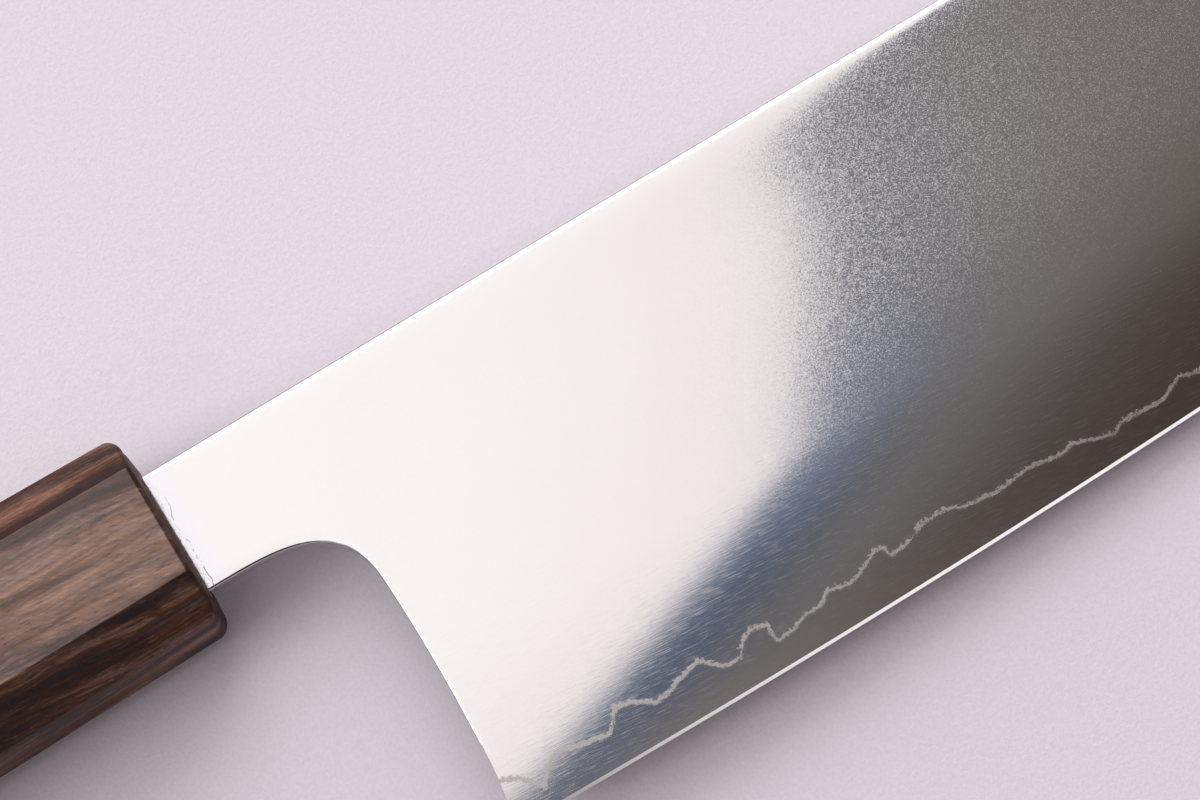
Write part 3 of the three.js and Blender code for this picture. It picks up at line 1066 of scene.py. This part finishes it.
print("creases along rows", band_row, line_row, honed_row)

# %% [markdown]
# ## Steel finishes
# The face is a fine satin polish: close up it is a speckle of grains, some smooth and some coarser,
# and on the bevel it turns into hair lines along the edge. A plain noise bump would make the white
# side dirty too. On the real face the coarse grains all lie one way, like the nap of cloth, so here
# they lean towards the light: they glint on the dim side and vanish on the bright one. All three
# steels share these marks, so they are one node group.

# %% Grinding marks as a node group
BRUSH_ALONG = (0.994, -0.108, 0.0)
BRUSH_ACROSS = (0.108, 0.994, 0.0)
GRAINS_PER_MM = (10.5, 13.0)
GRAIN_MIDDLE = (0.5, 0.5, 0.5)
GRAIN_TILT = 0.03
GRAIN_NAP = (-0.0157, 0.0124, 0.0)
COARSE_CHANCES = (0.40, 1.05)
FLAT_LEVELS = (12.0, 32.0)
BEVEL_GRAIN = 0.05
HAIRS_PER_MM = (0.40, 10.0)
HAIR_DEPTH = 0.0012
HAIR_LEVELS = (12.0, 28.0)
FLAT_HAIRS = 0.25


def new_group(name, inputs, outputs):
    """An empty shader node group with named sockets. Returns it with its input and output nodes."""
    group = bpy.data.node_groups.new(name, "ShaderNodeTree")
    for label, kind in inputs:
        group.interface.new_socket(label, in_out="INPUT", socket_type=kind)
    for label, kind in outputs:
        group.interface.new_socket(label, in_out="OUTPUT", socket_type=kind)
    return group, node(group, "NodeGroupInput").outputs, node(group, "NodeGroupOutput").inputs


def use_group(tree, group, inputs):
    """Places a group in a material and plugs its inputs. Returns its outputs."""
    made = node(tree, "ShaderNodeGroup", node_tree=group)
    for name, value in inputs.items():
        plug(tree, value, made.inputs[name])
    return made.outputs


def brushed_place(tree, place, along, across_it):
    """Coordinates along and across the brushing, each squeezed by its own number."""
    far = times(tree, reach_along(tree, place, BRUSH_ALONG), along)
    near = times(tree, reach_along(tree, place, BRUSH_ACROSS), across_it)
    return node(tree, "ShaderNodeCombineXYZ", {"X": far, "Y": near}).outputs["Vector"]


def grinding_marks():
    """Fine grains that each tilt the face their own way, and hair lines on the bevel.

    Each cell of a Voronoi pattern is a grain with numbers of its own. Its tilt is number * |number|,
    so most grains lie nearly flat and a few stand up and glint. The coarser a grain, the further it
    leans with the nap.
    """
    group, given, result = new_group(
        "grinding_marks",
        [("Place", "NodeSocketVector"), ("Edge Height", "NodeSocketFloat")],
        [("Normal", "NodeSocketVector"), ("Grain", "NodeSocketFloat"), ("Lines", "NodeSocketFloat")],
    )
    cells = {"Vector": brushed_place(group, given["Place"], *GRAINS_PER_MM), "Scale": 1.0}
    grain = node(group, "ShaderNodeTexVoronoi", cells, voronoi_dimensions="2D").outputs["Color"]
    on_flat = spread(group, given["Edge Height"], *FLAT_LEVELS, BEVEL_GRAIN, 1.0)
    own = arrows(group, "SUBTRACT", grain, GRAIN_MIDDLE)
    steep = arrows(group, "MULTIPLY", own, arrows(group, "ABSOLUTE", own))
    tilt = scaled(group, steep, times(group, on_flat, GRAIN_TILT))
    coarse = times(group, spread(group, axis(group, grain, "X"), *COARSE_CHANCES), on_flat)
    lay = arrows(group, "ADD", scaled(group, GRAIN_NAP, coarse), tilt)
    hairs = cloud(group, brushed_place(group, given["Place"], *HAIRS_PER_MM), 1.0, 2.0, 0.6)
    on_bevel = spread(group, given["Edge Height"], *HAIR_LEVELS, 1.0, FLAT_HAIRS)
    grooved = relief(group, times(group, hairs, HAIR_DEPTH, on_bevel))
    plug(group, arrows(group, "NORMALIZE", arrows(group, "ADD", grooved, lay)), result["Normal"])
    plug(group, coarse, result["Grain"])
    streaks = times(group, maths(group, "SUBTRACT", hairs, 0.5), on_bevel)
    plug(group, maths(group, "ADD", streaks, 0.5), result["Lines"])
    return group


marks = grinding_marks()
print("group", marks.name, "with", len(marks.nodes), "nodes")

# %% Wisps of bond metal
CURLS_PER_MM = 2.2
CURL_GAIN = 2.4
CURL_SHIFT = -0.65
CURL_SOFTNESS = 0.45
FRAYS_PER_MM = 5.0
FRAY = 0.5
SEAM_LEVELS = (0.06, 0.32)
SEAM_SHARE = 0.8


def line_wisps():
    """How much bond metal shows: a thin frayed seam, and curls of noise that die away beside it."""
    group, given, result = new_group(
        "line_wisps",
        [("Place", "NodeSocketVector"), ("Distance", "NodeSocketFloat"), ("Fall", "NodeSocketFloat")],
        [("Wisp", "NodeSocketFloat")],
    )
    curl = cloud(group, given["Place"], CURLS_PER_MM, 3.0, 0.65)
    curl_range = maths(group, "MULTIPLY_ADD", curl, CURL_GAIN, CURL_SHIFT)
    faded = maths(group, "SUBTRACT", curl_range, times(group, given["Distance"], given["Fall"]))
    curls = spread(group, faded, 0.0, CURL_SOFTNESS)
    fray = cloud(group, given["Place"], FRAYS_PER_MM, 2.0, 0.6)
    frayed = maths(group, "MULTIPLY_ADD", fray, FRAY, maths(group, "SUBTRACT", given["Distance"], FRAY / 2))
    seam = spread(group, frayed, *SEAM_LEVELS, SEAM_SHARE, 0.0)
    plug(group, maths(group, "MAXIMUM", curls, seam), result["Wisp"])
    return group


wisps = line_wisps()
print("group", wisps.name, "with", len(wisps.nodes), "nodes")

# %% Steel with its marks
SATIN_ROUGHNESS = 0.045
COARSE_ROUGHNESS = 0.20
HAIR_ROUGHNESS = 0.12
HAIRY_LINES = (0.50, 0.68)
STREAK_SHADES = [(0.3, (0.94, 0.94, 0.94)), (0.7, (1.0, 1.0, 1.0))]
BOND_COLOUR = (0.46, 0.45, 0.44, 1.0)
BOND_ROUGHNESS = 0.28


def read_value(tree, name):
    """A number that the points of a piece keep."""
    return node(tree, "ShaderNodeAttribute", attribute_name=name).outputs["Fac"]


def steel_with_marks(name, tones):
    """A steel with the grinding marks: grain and hair lines set its tone and roughness."""
    material, tree, shader = new_material(name)
    place = object_millimetres(tree)
    height = read_value(tree, "edge_height")
    made = use_group(tree, marks, {"Place": place, "Edge Height": height})
    streaks = ramp(tree, made["Lines"], STREAK_SHADES)
    tone = blend(tree, 1.0, ramp(tree, made["Grain"], tones), streaks, "MULTIPLY")
    hairy = spread(tree, made["Lines"], *HAIRY_LINES, SATIN_ROUGHNESS, HAIR_ROUGHNESS)
    rough = maths(tree, "MULTIPLY_ADD", made["Grain"], COARSE_ROUGHNESS - SATIN_ROUGHNESS, hairy)
    plug(tree, 1.0, shader.inputs["Metallic"])
    plug(tree, made["Normal"], shader.inputs["Normal"])
    steel = SimpleNamespace(material=material, tree=tree, inputs=shader.inputs)
    steel.place, steel.height = place, height
    steel.tone, steel.rough = tone, rough
    return steel


def bond_share(steel, fall):
    """How much bond metal shows on a steel, by the distance from the forged line that its points keep."""
    distance = read_value(steel.tree, "line_distance")
    given = {"Place": steel.place, "Distance": distance, "Fall": fall}
    return use_group(steel.tree, wisps, given)["Wisp"]


def show_bond(steel, wisp):
    """Mixes bond metal into a steel's colour and roughness by the share of wisps."""
    plug(steel.tree, blend(steel.tree, wisp, steel.tone, BOND_COLOUR), steel.inputs["Base Color"])
    extra = times(steel.tree, wisp, BOND_ROUGHNESS - SATIN_ROUGHNESS)
    plug(steel.tree, maths(steel.tree, "ADD", steel.rough, extra), steel.inputs["Roughness"])


print("satin steel from roughness", SATIN_ROUGHNESS, "to", COARSE_ROUGHNESS)

# %% [markdown]
# ## Three steels
# The cladding is plain satin steel. Where the handle was waxed, a thin film lies on its neck, with a
# broken dark line where the wiping stopped. The bond metal is paler and less polished, so it stays
# pale where the face turns dark, and it shows in wisps. The core has fewer wisps and ends in the
# honed bevel, which is brighter than the rest: partly the card's reflection, partly a painted
# highlight, a paler colour than steel has.

# %% Cladding with wax on the neck
CLADDING_TONES = [(0.0, (0.555, 0.55, 0.55)), (1.0, (0.585, 0.58, 0.58))]
FILM_TINT = (1.0, 0.985, 1.05, 1.0)
FILM_END = (0.6, 4.5)
WAX_LINE_COLOUR = (0.16, 0.07, 0.055, 1.0)
WAX_LINE_WANDER = 2.2
WAX_LINE_SHIFT = -0.35
WAX_LINE_WIDTH = (0.01, 0.09)
WAX_LINE_BREAKS = (0.54, 0.64)
WAX_LINE_SHARE = 0.7
WAX_LINE_END = (1.2, 2.0)


def wax_on_steel(tree, place):
    """Wax on the neck: a thin film for a few millimetres, and a broken line where the wiping stopped."""
    from_wood = axis(tree, place, "X")
    film = spread(tree, from_wood, *FILM_END, 1.0, 0.0)
    wander = cloud(tree, place, 0.30, 2.0, 0.6)
    ridge = maths(tree, "MULTIPLY_ADD", wander, WAX_LINE_WANDER, WAX_LINE_SHIFT)
    gap = maths(tree, "ABSOLUTE", maths(tree, "SUBTRACT", from_wood, ridge))
    whole = spread(tree, gap, *WAX_LINE_WIDTH, 1.0, 0.0)
    broken = spread(tree, cloud(tree, place, 0.5, 3.0, 0.6), *WAX_LINE_BREAKS, 0.0, WAX_LINE_SHARE)
    return film, times(tree, whole, broken, spread(tree, from_wood, *WAX_LINE_END, 1.0, 0.0))


def cladding_finish():
    """Satin stainless steel, with a thin film of wax beside the handle."""
    steel = steel_with_marks("satin_cladding", CLADDING_TONES)
    film, line = wax_on_steel(steel.tree, steel.place)
    filmed = blend(steel.tree, film, steel.tone, FILM_TINT, "MULTIPLY")
    plug(steel.tree, blend(steel.tree, line, filmed, WAX_LINE_COLOUR), steel.inputs["Base Color"])
    plug(steel.tree, steel.rough, steel.inputs["Roughness"])
    plug(steel.tree, maths(steel.tree, "SUBTRACT", 1.0, line), steel.inputs["Metallic"])
    return steel.material


cladding_steel = cladding_finish()
print("cladding wears", cladding_steel.name)

# %% Bond and core steel
BOND_FALL = 1.4
CORE_FALL = 3.6
CORE_TONES = [(0.0, (0.53, 0.52, 0.515)), (1.0, (0.56, 0.55, 0.545))]
HONED_PAINTED_HIGHLIGHT_COLOUR = (0.80, 0.79, 0.79, 1.0)
HONED_ROUGHNESS = 0.12
HONED_BORDER = 0.01


def bond_finish():
    """Bond metal in wisps, with satin steel between them."""
    steel = steel_with_marks("bright_bond", CLADDING_TONES)
    show_bond(steel, bond_share(steel, BOND_FALL))
    return steel.material


def core_finish():
    """Hard core steel: hair lines, a few wisps under the forged line and a honed bevel with a painted
    highlight.
    """
    steel = steel_with_marks("ground_core", CORE_TONES)
    honed_levels = (HONED_HEIGHT - HONED_BORDER, HONED_HEIGHT + HONED_BORDER)
    honed = spread(steel.tree, steel.height, *honed_levels, 1.0, 0.0)
    # Painted highlight: the honed bevel gets a paler colour than steel has, so that it shines brighter in
    # the card's reflection.
    steel.tone = blend(steel.tree, honed, steel.tone, HONED_PAINTED_HIGHLIGHT_COLOUR)
    steel.rough = maths(steel.tree, "MAXIMUM", steel.rough, times(steel.tree, honed, HONED_ROUGHNESS))
    above_bevel = maths(steel.tree, "SUBTRACT", 1.0, honed)
    show_bond(steel, times(steel.tree, bond_share(steel, CORE_FALL), above_bevel))
    return steel.material


bond_metal = bond_finish()
core_steel = core_finish()
print("bond and core wear", bond_metal.name, core_steel.name)

# %% Put the blade together
for hand, side in (("right", 1), ("left", -1)):
    cladding_names = (f"cladding_{hand}", "cladding_steel", cladding_steel)
    steel_piece(f"cladding_face_{hand}", cladding_layer, side, neck_row + 1, *cladding_names)
    bond_names = (f"bond_layer_{hand}", "bond_metal", bond_metal)
    steel_piece(f"bond_line_{hand}", bond_layer, side, band_row, *bond_names)
steel_piece("blade_core", core_layer, 1, line_row, "core_steel", "core_steel", core_steel)

# %% [markdown]
# ## Handle
# The handle is planed to eight sides from one stick of dark hardwood, and its arrises and ends are
# only just broken with fine paper. A Bevel modifier on an octagonal prism would do, but a ring of
# points that already has rounded corners, carried along the stick, keeps the facets dead flat. The
# same rings turn in at the front and go on down the slot for the tang. Sanding has taken the front
# back a little at its upper and lower ends.

# %% Section of the handle
HANDLE_FRONT_HEIGHT = 22.4
HANDLE_FRONT_WIDTH = 19.2
HANDLE_FRONT_CHAMFER = 4.8
HANDLE_REAR_HEIGHT = 27.0
HANDLE_REAR_WIDTH = 23.2
HANDLE_REAR_CHAMFER = 5.8
ARRIS_RADIUS = 0.45
CORNER_STEPS = 4
FACET_STEPS = 10

handle_front = np.array([HANDLE_FRONT_HEIGHT, HANDLE_FRONT_WIDTH, HANDLE_FRONT_CHAMFER])
handle_rear = np.array([HANDLE_REAR_HEIGHT, HANDLE_REAR_WIDTH, HANDLE_REAR_CHAMFER])


def octagon_ring(height, width, chamfer, radius):
    """Eight facets joined by arcs: each has its centre r inside two facets and turns by 45 degrees."""
    facet = np.arange(8) * EIGHTH_TURN
    slant = ((height + width) / 2 - chamfer) * np.sqrt(0.5)
    reach = np.array([height / 2, slant, width / 2, slant] * 2) - radius
    normals = np.stack([np.cos(facet), np.sin(facet)], axis=1)
    beside = np.roll(normals, -1, axis=0)
    next_reach = np.roll(reach, -1)
    centre_y = reach * beside[:, 1] - next_reach * normals[:, 1]
    centre_z = next_reach * normals[:, 0] - reach * beside[:, 0]
    centres = np.stack([centre_y, centre_z], axis=1) / np.sin(EIGHTH_TURN)
    angles = facet[:, None] + np.linspace(0, EIGHTH_TURN, CORNER_STEPS + 1)
    arcs = centres[:, None] + radius * np.stack([np.cos(angles), np.sin(angles)], axis=-1)
    start, stop = arcs[:, -1:], np.roll(arcs, -1, axis=0)[:, :1]
    shares = np.linspace(0, 1, FACET_STEPS + 1)[1:-1, None]
    return np.concatenate([arcs, start + shares * (stop - start)], axis=1).reshape(-1, 2)


def handle_ring(x, inset):
    """The handle's section at x, drawn in all round: its sizes run evenly from front to rear."""
    height, width, chamfer = handle_front + (handle_rear - handle_front) * x / handle_end_x
    drawn_chamfer = chamfer - inset * (2 - np.sqrt(2))
    ring = octagon_ring(height - 2 * inset, width - 2 * inset, drawn_chamfer, ARRIS_RADIUS)
    return np.column_stack([np.full(len(ring), x), ring])


print("handle section of", len(handle_ring(0, 0)), "points")

# %% Rings of the handle
FRONT_ROUND = 0.55
REAR_ROUND = 1.8
FRONT_SANDED = 0.9
SANDED_FROM = 9.2
GLUE_LINE = 0.4
BODY_RINGS = 48
END_STEPS = 5
SLOT_RINGS = 12
REAR_FACE_SHARES = (0.3, 0.65)
FRONT_FACE_SHARES = (0.3, 0.6, 0.85)


def slot_ring(x):
    """The slot's section at x: the handle's ring of directions, each pushed out to a rectangle."""
    share = np.clip(x / tang_end_x, 0, 1)
    half_height = (NECK_HEIGHT + (TANG_END_HEIGHT - NECK_HEIGHT) * share) / 2 + GLUE_LINE
    half_width = SPINE_THICKNESS / 2 + GLUE_LINE
    ring = handle_ring(0, 0)[:, 1:]
    push = np.min((half_height, half_width) / np.abs(ring).clip(1e-6), axis=1, keepdims=True)
    return np.column_stack([np.full(len(ring), x), ring * push + (tang_middle_y, 0)])


quarter = np.linspace(0, np.pi / 2, END_STEPS + 1)
rounds = np.stack([1 - np.sin(quarter), 1 - np.cos(quarter)], axis=1)
body_places = np.linspace(handle_end_x + REAR_ROUND, -FRONT_ROUND, BODY_RINGS)[1:-1]
rear_face = handle_ring(handle_end_x, REAR_ROUND)
rear_middle = np.array([handle_end_x, 0, 0])
front_face = handle_ring(0, FRONT_ROUND)
slot_mouth = slot_ring(0)
handle_rings = np.array([
    *[rear_middle + share * (rear_face - rear_middle) for share in REAR_FACE_SHARES],
    *[handle_ring(handle_end_x + REAR_ROUND * back, REAR_ROUND * inset) for back, inset in rounds[::-1]],
    *[handle_ring(x, 0) for x in body_places],
    *[handle_ring(-FRONT_ROUND * back, FRONT_ROUND * inset) for back, inset in rounds],
    *[front_face + share * (slot_mouth - front_face) for share in FRONT_FACE_SHARES],
    *[slot_ring(x) for x in np.linspace(0, tang_end_x - GLUE_LINE, SLOT_RINGS)],
])
past_sanding = (np.abs(handle_rings[..., 1]) - SANDED_FROM) / (HANDLE_FRONT_HEIGHT / 2 - SANDED_FROM)
at_front = handle_rings[..., 0] > -FRONT_ROUND - 0.01
handle_rings[..., 0] -= np.where(at_front, FRONT_SANDED * np.maximum(past_sanding, 0) ** 2, 0)
print("handle of", len(handle_rings), "rings with", handle_rings.shape[1], "points each")

# %% Skin over the rings
FACET_DEPTH = 0.01


def ring_quads(rings, points, closed=False):
    """Quads between rings that follow each other, and from the last to the first on a closed profile."""
    ring = np.arange(rings if closed else rings - 1)[:, None] * points
    following = (ring + points) % (rings * points)
    here = np.arange(points)[None]
    beside = (here + 1) % points
    corners = [ring + here, ring + beside, following + beside, following + here]
    return np.stack(corners, axis=-1).reshape(-1, 4)


def capped_loft(rings):
    """A closed skin over rings, with a point in the middle of each end and a fan of triangles to it."""
    count, width = rings.shape[:2]
    middles = rings[[0, -1]].mean(axis=1)
    here = np.arange(width)
    beside = (here + 1) % width
    first = np.full(width, count * width)
    last = (count - 1) * width
    near_fan = np.stack([first, beside, here], axis=1)
    far_fan = np.stack([first + 1, last + here, last + beside], axis=1)
    faces = [*ring_quads(count, width).tolist(), *near_fan.tolist(), *far_fan.tolist()]
    return np.concatenate([rings.reshape(-1, 3), middles]), faces


handle_points, handle_faces = capped_loft(handle_rings)
depth = np.abs(handle_rings[..., 2])
on_broad_facet = depth > depth.max(axis=1, keepdims=True) - FACET_DEPTH
print("handle skin of", len(handle_faces), "faces")

# %% [markdown]
# ## Wood
# The stick is a dark, oiled hardwood: brown with near-black bands a few millimetres wide, warm and
# cool streaks between them, and fine open pores. Painting it on the surface would show at the
# arrises, so the pattern is a solid one that the facets cut through: noise stretched along the
# stick. The two broad facets were rubbed up and have a soft sheen. The others are matt, and a
# painted shade makes their colour darker; the end grain drinks the oil and is darkest. A slanting
# shimmer is painted into the colour as well.

# %% Streaks along the stick
GRAIN_LEAN = 0.06
HATCH_LEAN = 0.55
DRIFT = (0.0, 3.0, 3.0)
SLOW_PER_MM = (0.05, 0.12)
BANDS_PER_MM = (0.028, 0.34)
FIBRES_PER_MM = (0.14, 2.6)
FLECKS_PER_MM = (0.7, 3.4)
STREAKS_PER_MM = (0.022, 0.5)
HATCH_PER_MM = (0.5, 4.2)


def grain_place(tree, place, per_mm, lean_by=GRAIN_LEAN):
    """Coordinates turned a little off the stick's axis, then squeezed along it into long streaks."""
    turn = {"Vector": place, "Angle": lean_by}
    turned = node(tree, "ShaderNodeVectorRotate", turn, rotation_type="Z_AXIS")
    along, aside = per_mm
    return arrows(tree, "MULTIPLY", turned.outputs["Vector"], (along, aside, aside))


def wandering(tree, place):
    """A place pushed aside by slow noise, so that the streaks wander: place + noise * drift."""
    slow = {"Vector": grain_place(tree, place, SLOW_PER_MM), "Scale": 1.0, "Detail": 2.0}
    noise = node(tree, "ShaderNodeTexNoise", slow).outputs["Color"]
    return arrows(tree, "ADD", place, arrows(tree, "MULTIPLY", noise, DRIFT))


print(f"bands about {1 / BANDS_PER_MM[1]:.1f} mm wide, fibres about {1 / FIBRES_PER_MM[1]:.1f} mm")

# %% Wood finish
WOOD_TONES = [
    (0.34, (0.034, 0.018, 0.016)),
    (0.43, (0.080, 0.036, 0.023)),
    (0.51, (0.165, 0.090, 0.068)),
    (0.60, (0.280, 0.170, 0.130)),
    (0.70, (0.345, 0.185, 0.100)),
]
STREAK_TINTS = [(0.38, (0.86, 1.00, 1.16)), (0.62, (1.09, 1.00, 0.86))]
PORE_COLOUR = (0.012, 0.009, 0.008, 1.0)
BAND_SHARE = 0.70
FIBRE_SHARE = 0.30
FLECK_LIFT = 0.07
NARROW_FACET_PAINTED_SHADE = 0.088
END_GRAIN_DEEP = 0.13
PORE_SHARE = 0.55
PORE_DEPTH = 0.8
WOOD_RELIEF = 0.010
WOOD_SHINE = 0.1
SHEEN_ROUGHNESS = 0.42


def end_grain_share(tree, place):
    """1 on the front and rear ends of the stick, 0 along it."""
    along = axis(tree, place, "X")
    front_end = spread(tree, along, -FRONT_ROUND, -FRONT_ROUND + 0.2)
    rear_end = spread(tree, along, handle_end_x + 0.5, handle_end_x + 0.2)
    return maths(tree, "MAXIMUM", front_end, rear_end)


def wood_finish():
    """Bands, fibres, flecks and pores of oiled hardwood, with a painted shimmer and painted shade on the
    narrow facets.
    """
    material, tree, shader = new_material("dark_hardwood")
    place = object_millimetres(tree)
    warped = wandering(tree, place)
    bands = cloud(tree, grain_place(tree, warped, BANDS_PER_MM), 1.0, 3.0, 0.55)
    fibres = cloud(tree, grain_place(tree, warped, FIBRES_PER_MM), 1.0, 3.0, 0.65)
    flecks = cloud(tree, grain_place(tree, warped, FLECKS_PER_MM), 1.0, 2.0, 0.5)
    streaks = cloud(tree, grain_place(tree, warped, STREAKS_PER_MM), 1.0, 2.0, 0.55)
    hatch = cloud(tree, grain_place(tree, place, HATCH_PER_MM, HATCH_LEAN), 1.0, 1.0, 0.5)
    narrow = maths(tree, "SUBTRACT", 1.0, read_value(tree, "broad_facet"))
    end_grain = end_grain_share(tree, place)
    mixed = maths(tree, "MULTIPLY_ADD", bands, BAND_SHARE, times(tree, fibres, FIBRE_SHARE))
    lighter = maths(tree, "MULTIPLY_ADD", spread(tree, flecks, 0.55, 0.75), FLECK_LIFT, mixed)
    # Painted shade: the narrow facets get a darker colour for the light they miss; the end grain is darker
    # of its own, from the oil.
    narrow_painted_shade = times(tree, narrow, NARROW_FACET_PAINTED_SHADE)
    painted_shade_and_end_grain = maths(tree, "MAXIMUM", narrow_painted_shade, times(tree, end_grain, END_GRAIN_DEEP))
    brown = ramp(tree, maths(tree, "SUBTRACT", lighter, painted_shade_and_end_grain), WOOD_TONES)
    tinted = blend(tree, 1.0, brown, ramp(tree, streaks, STREAK_TINTS), "MULTIPLY")
    # Painted shimmer: the slanting hatch makes the colour lighter and darker by about a tenth, standing in
    # for sheen across the grain; the hatch is also a real relief.
    with_painted_shimmer = scaled(tree, tinted, spread(tree, hatch, 0.25, 0.75, 0.88, 1.12))
    pores = spread(tree, flecks, 0.40, 0.28)
    porous = blend(tree, times(tree, pores, PORE_SHARE), with_painted_shimmer, PORE_COLOUR)
    plug(tree, porous, shader.inputs["Base Color"])
    plug(tree, spread(tree, fibres, 0.3, 0.7, 0.48, 0.60), shader.inputs["Roughness"])
    plug(tree, WOOD_SHINE, shader.inputs["Specular IOR Level"])
    matt = maths(tree, "MAXIMUM", narrow, end_grain)
    plug(tree, maths(tree, "SUBTRACT", 1.0, matt), shader.inputs["Coat Weight"])
    plug(tree, SHEEN_ROUGHNESS, shader.inputs["Coat Roughness"])
    raised = maths(tree, "SUBTRACT", maths(tree, "ADD", fibres, hatch), times(tree, pores, PORE_DEPTH))
    plug(tree, relief(tree, times(tree, raised, WOOD_RELIEF)), shader.inputs["Normal"])
    return material


handle_names = ("handle_body", "handle_wood", wood_finish())
handle_piece = new_piece("handle_stick", handle_points, handle_faces, *handle_names)
keep_values(handle_piece, "broad_facet", np.append(on_broad_facet, [False, False]))
print("handle piece", handle_piece.name)

# %% [markdown]
# ## Seal and adhesive
# The tang is bedded in resin, and a bead of wax closes the mouth of the slot round the neck. The
# bead is a small profile carried round the neck: inside it lies on the steel, outside on the wood,
# and its free face rises and falls a little, as something wiped off with a finger does. The resin
# lies wholly inside, so the CAD's own solid is enough and only gets its finish.

# %% Bead round the neck
SEAL_DEPTH = 2.0
SEAL_PROUD = 0.20
SEAL_WAVE = 0.07
SEAL_WAVES = (2.1, 0.9, 0.45)
BEAD_POINTS = 160
NECK_SQUARENESS = 0.16
OUTWARD_SHARPNESS = 6
BEAD_PROFILE = [
    (-SEAL_DEPTH, 0.02, 0),
    (0.0, 0.02, 0),
    (0.0, 0.04, 1),
    (0.0, 0.14, 0.75),
    (0.0, 0.26, 0.35),
    (0.0, 0.37, 0.06),
    (-SEAL_DEPTH, 0.37, 0),
]


def signed_power(values, power):
    """Raises values to a power and keeps their signs: sign(v) * |v|^power."""
    return np.sign(values) * np.abs(values) ** power


round_neck = np.linspace(0, 2 * np.pi, BEAD_POINTS, endpoint=False)
squared = signed_power(np.stack([np.cos(round_neck), np.sin(round_neck)], axis=1), NECK_SQUARENESS)
neck_ring = squared * (NECK_HEIGHT / 2, SPINE_THICKNESS / 2) + (tang_middle_y, 0)
bead_outward = signed_power(squared, OUTWARD_SHARPNESS)
bead_outward /= np.linalg.norm(bead_outward, axis=1)[:, None]
proud = SEAL_PROUD + SEAL_WAVE * shiver(round_neck, SEAL_WAVES, 1.2)
bead_rings = [
    np.column_stack([back + rise * proud, neck_ring + out * bead_outward])
    for back, out, rise in BEAD_PROFILE
]
bead_points = np.concatenate(bead_rings)
bead_faces = ring_quads(len(BEAD_PROFILE), BEAD_POINTS, closed=True)[:, ::-1].tolist()
print("seal bead of", len(bead_faces), "quads")

# %% Wax and resin
WAX_TONES = [(0.3, (0.06, 0.026, 0.018)), (0.7, (0.24, 0.13, 0.10))]
WAX_ROUGHNESS = (0.3, 0.5)
WAX_RELIEF = 0.03
RESIN_TONES = [(0.3, (0.20, 0.13, 0.06)), (0.7, (0.36, 0.26, 0.14))]
RESIN_ROUGHNESS = (0.25, 0.4)
RESIN_RELIEF = 0.05


def set_finish(tree, shader, toned, tones, rough, roughness, depth_mm):
    """Plugs a set mass: one noise gives the colour, one the roughness and the relief."""
    plug(tree, ramp(tree, toned, tones), shader.inputs["Base Color"])
    plug(tree, spread(tree, rough, 0.3, 0.7, *roughness), shader.inputs["Roughness"])
    plug(tree, relief(tree, times(tree, rough, depth_mm)), shader.inputs["Normal"])


def wax_finish():
    """Cloudy brown wax with dust in it."""
    material, tree, shader = new_material("brown_wax")
    haze = cloud(tree, object_millimetres(tree), 1.4, 4.0, 0.6)
    set_finish(tree, shader, haze, WAX_TONES, haze, WAX_ROUGHNESS, WAX_RELIEF)
    return material


def resin_finish():
    """Set resin: honey brown with small bubbles."""
    material, tree, shader = new_material("set_resin")
    place = object_millimetres(tree)
    flow = cloud(tree, place, 0.35, 3.0, 0.6)
    bubbles = cloud(tree, place, 2.2, 1.0, 0.4)
    set_finish(tree, shader, flow, RESIN_TONES, bubbles, RESIN_ROUGHNESS, RESIN_RELIEF)
    return material


new_piece("seal_bead", bead_points, bead_faces, "tang_seal", "seal", wax_finish())
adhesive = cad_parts["tang_adhesive"]
adhesive.data.materials.clear()
adhesive.data.materials.append(resin_finish())
print("adhesive wears", adhesive.data.materials[0].name)
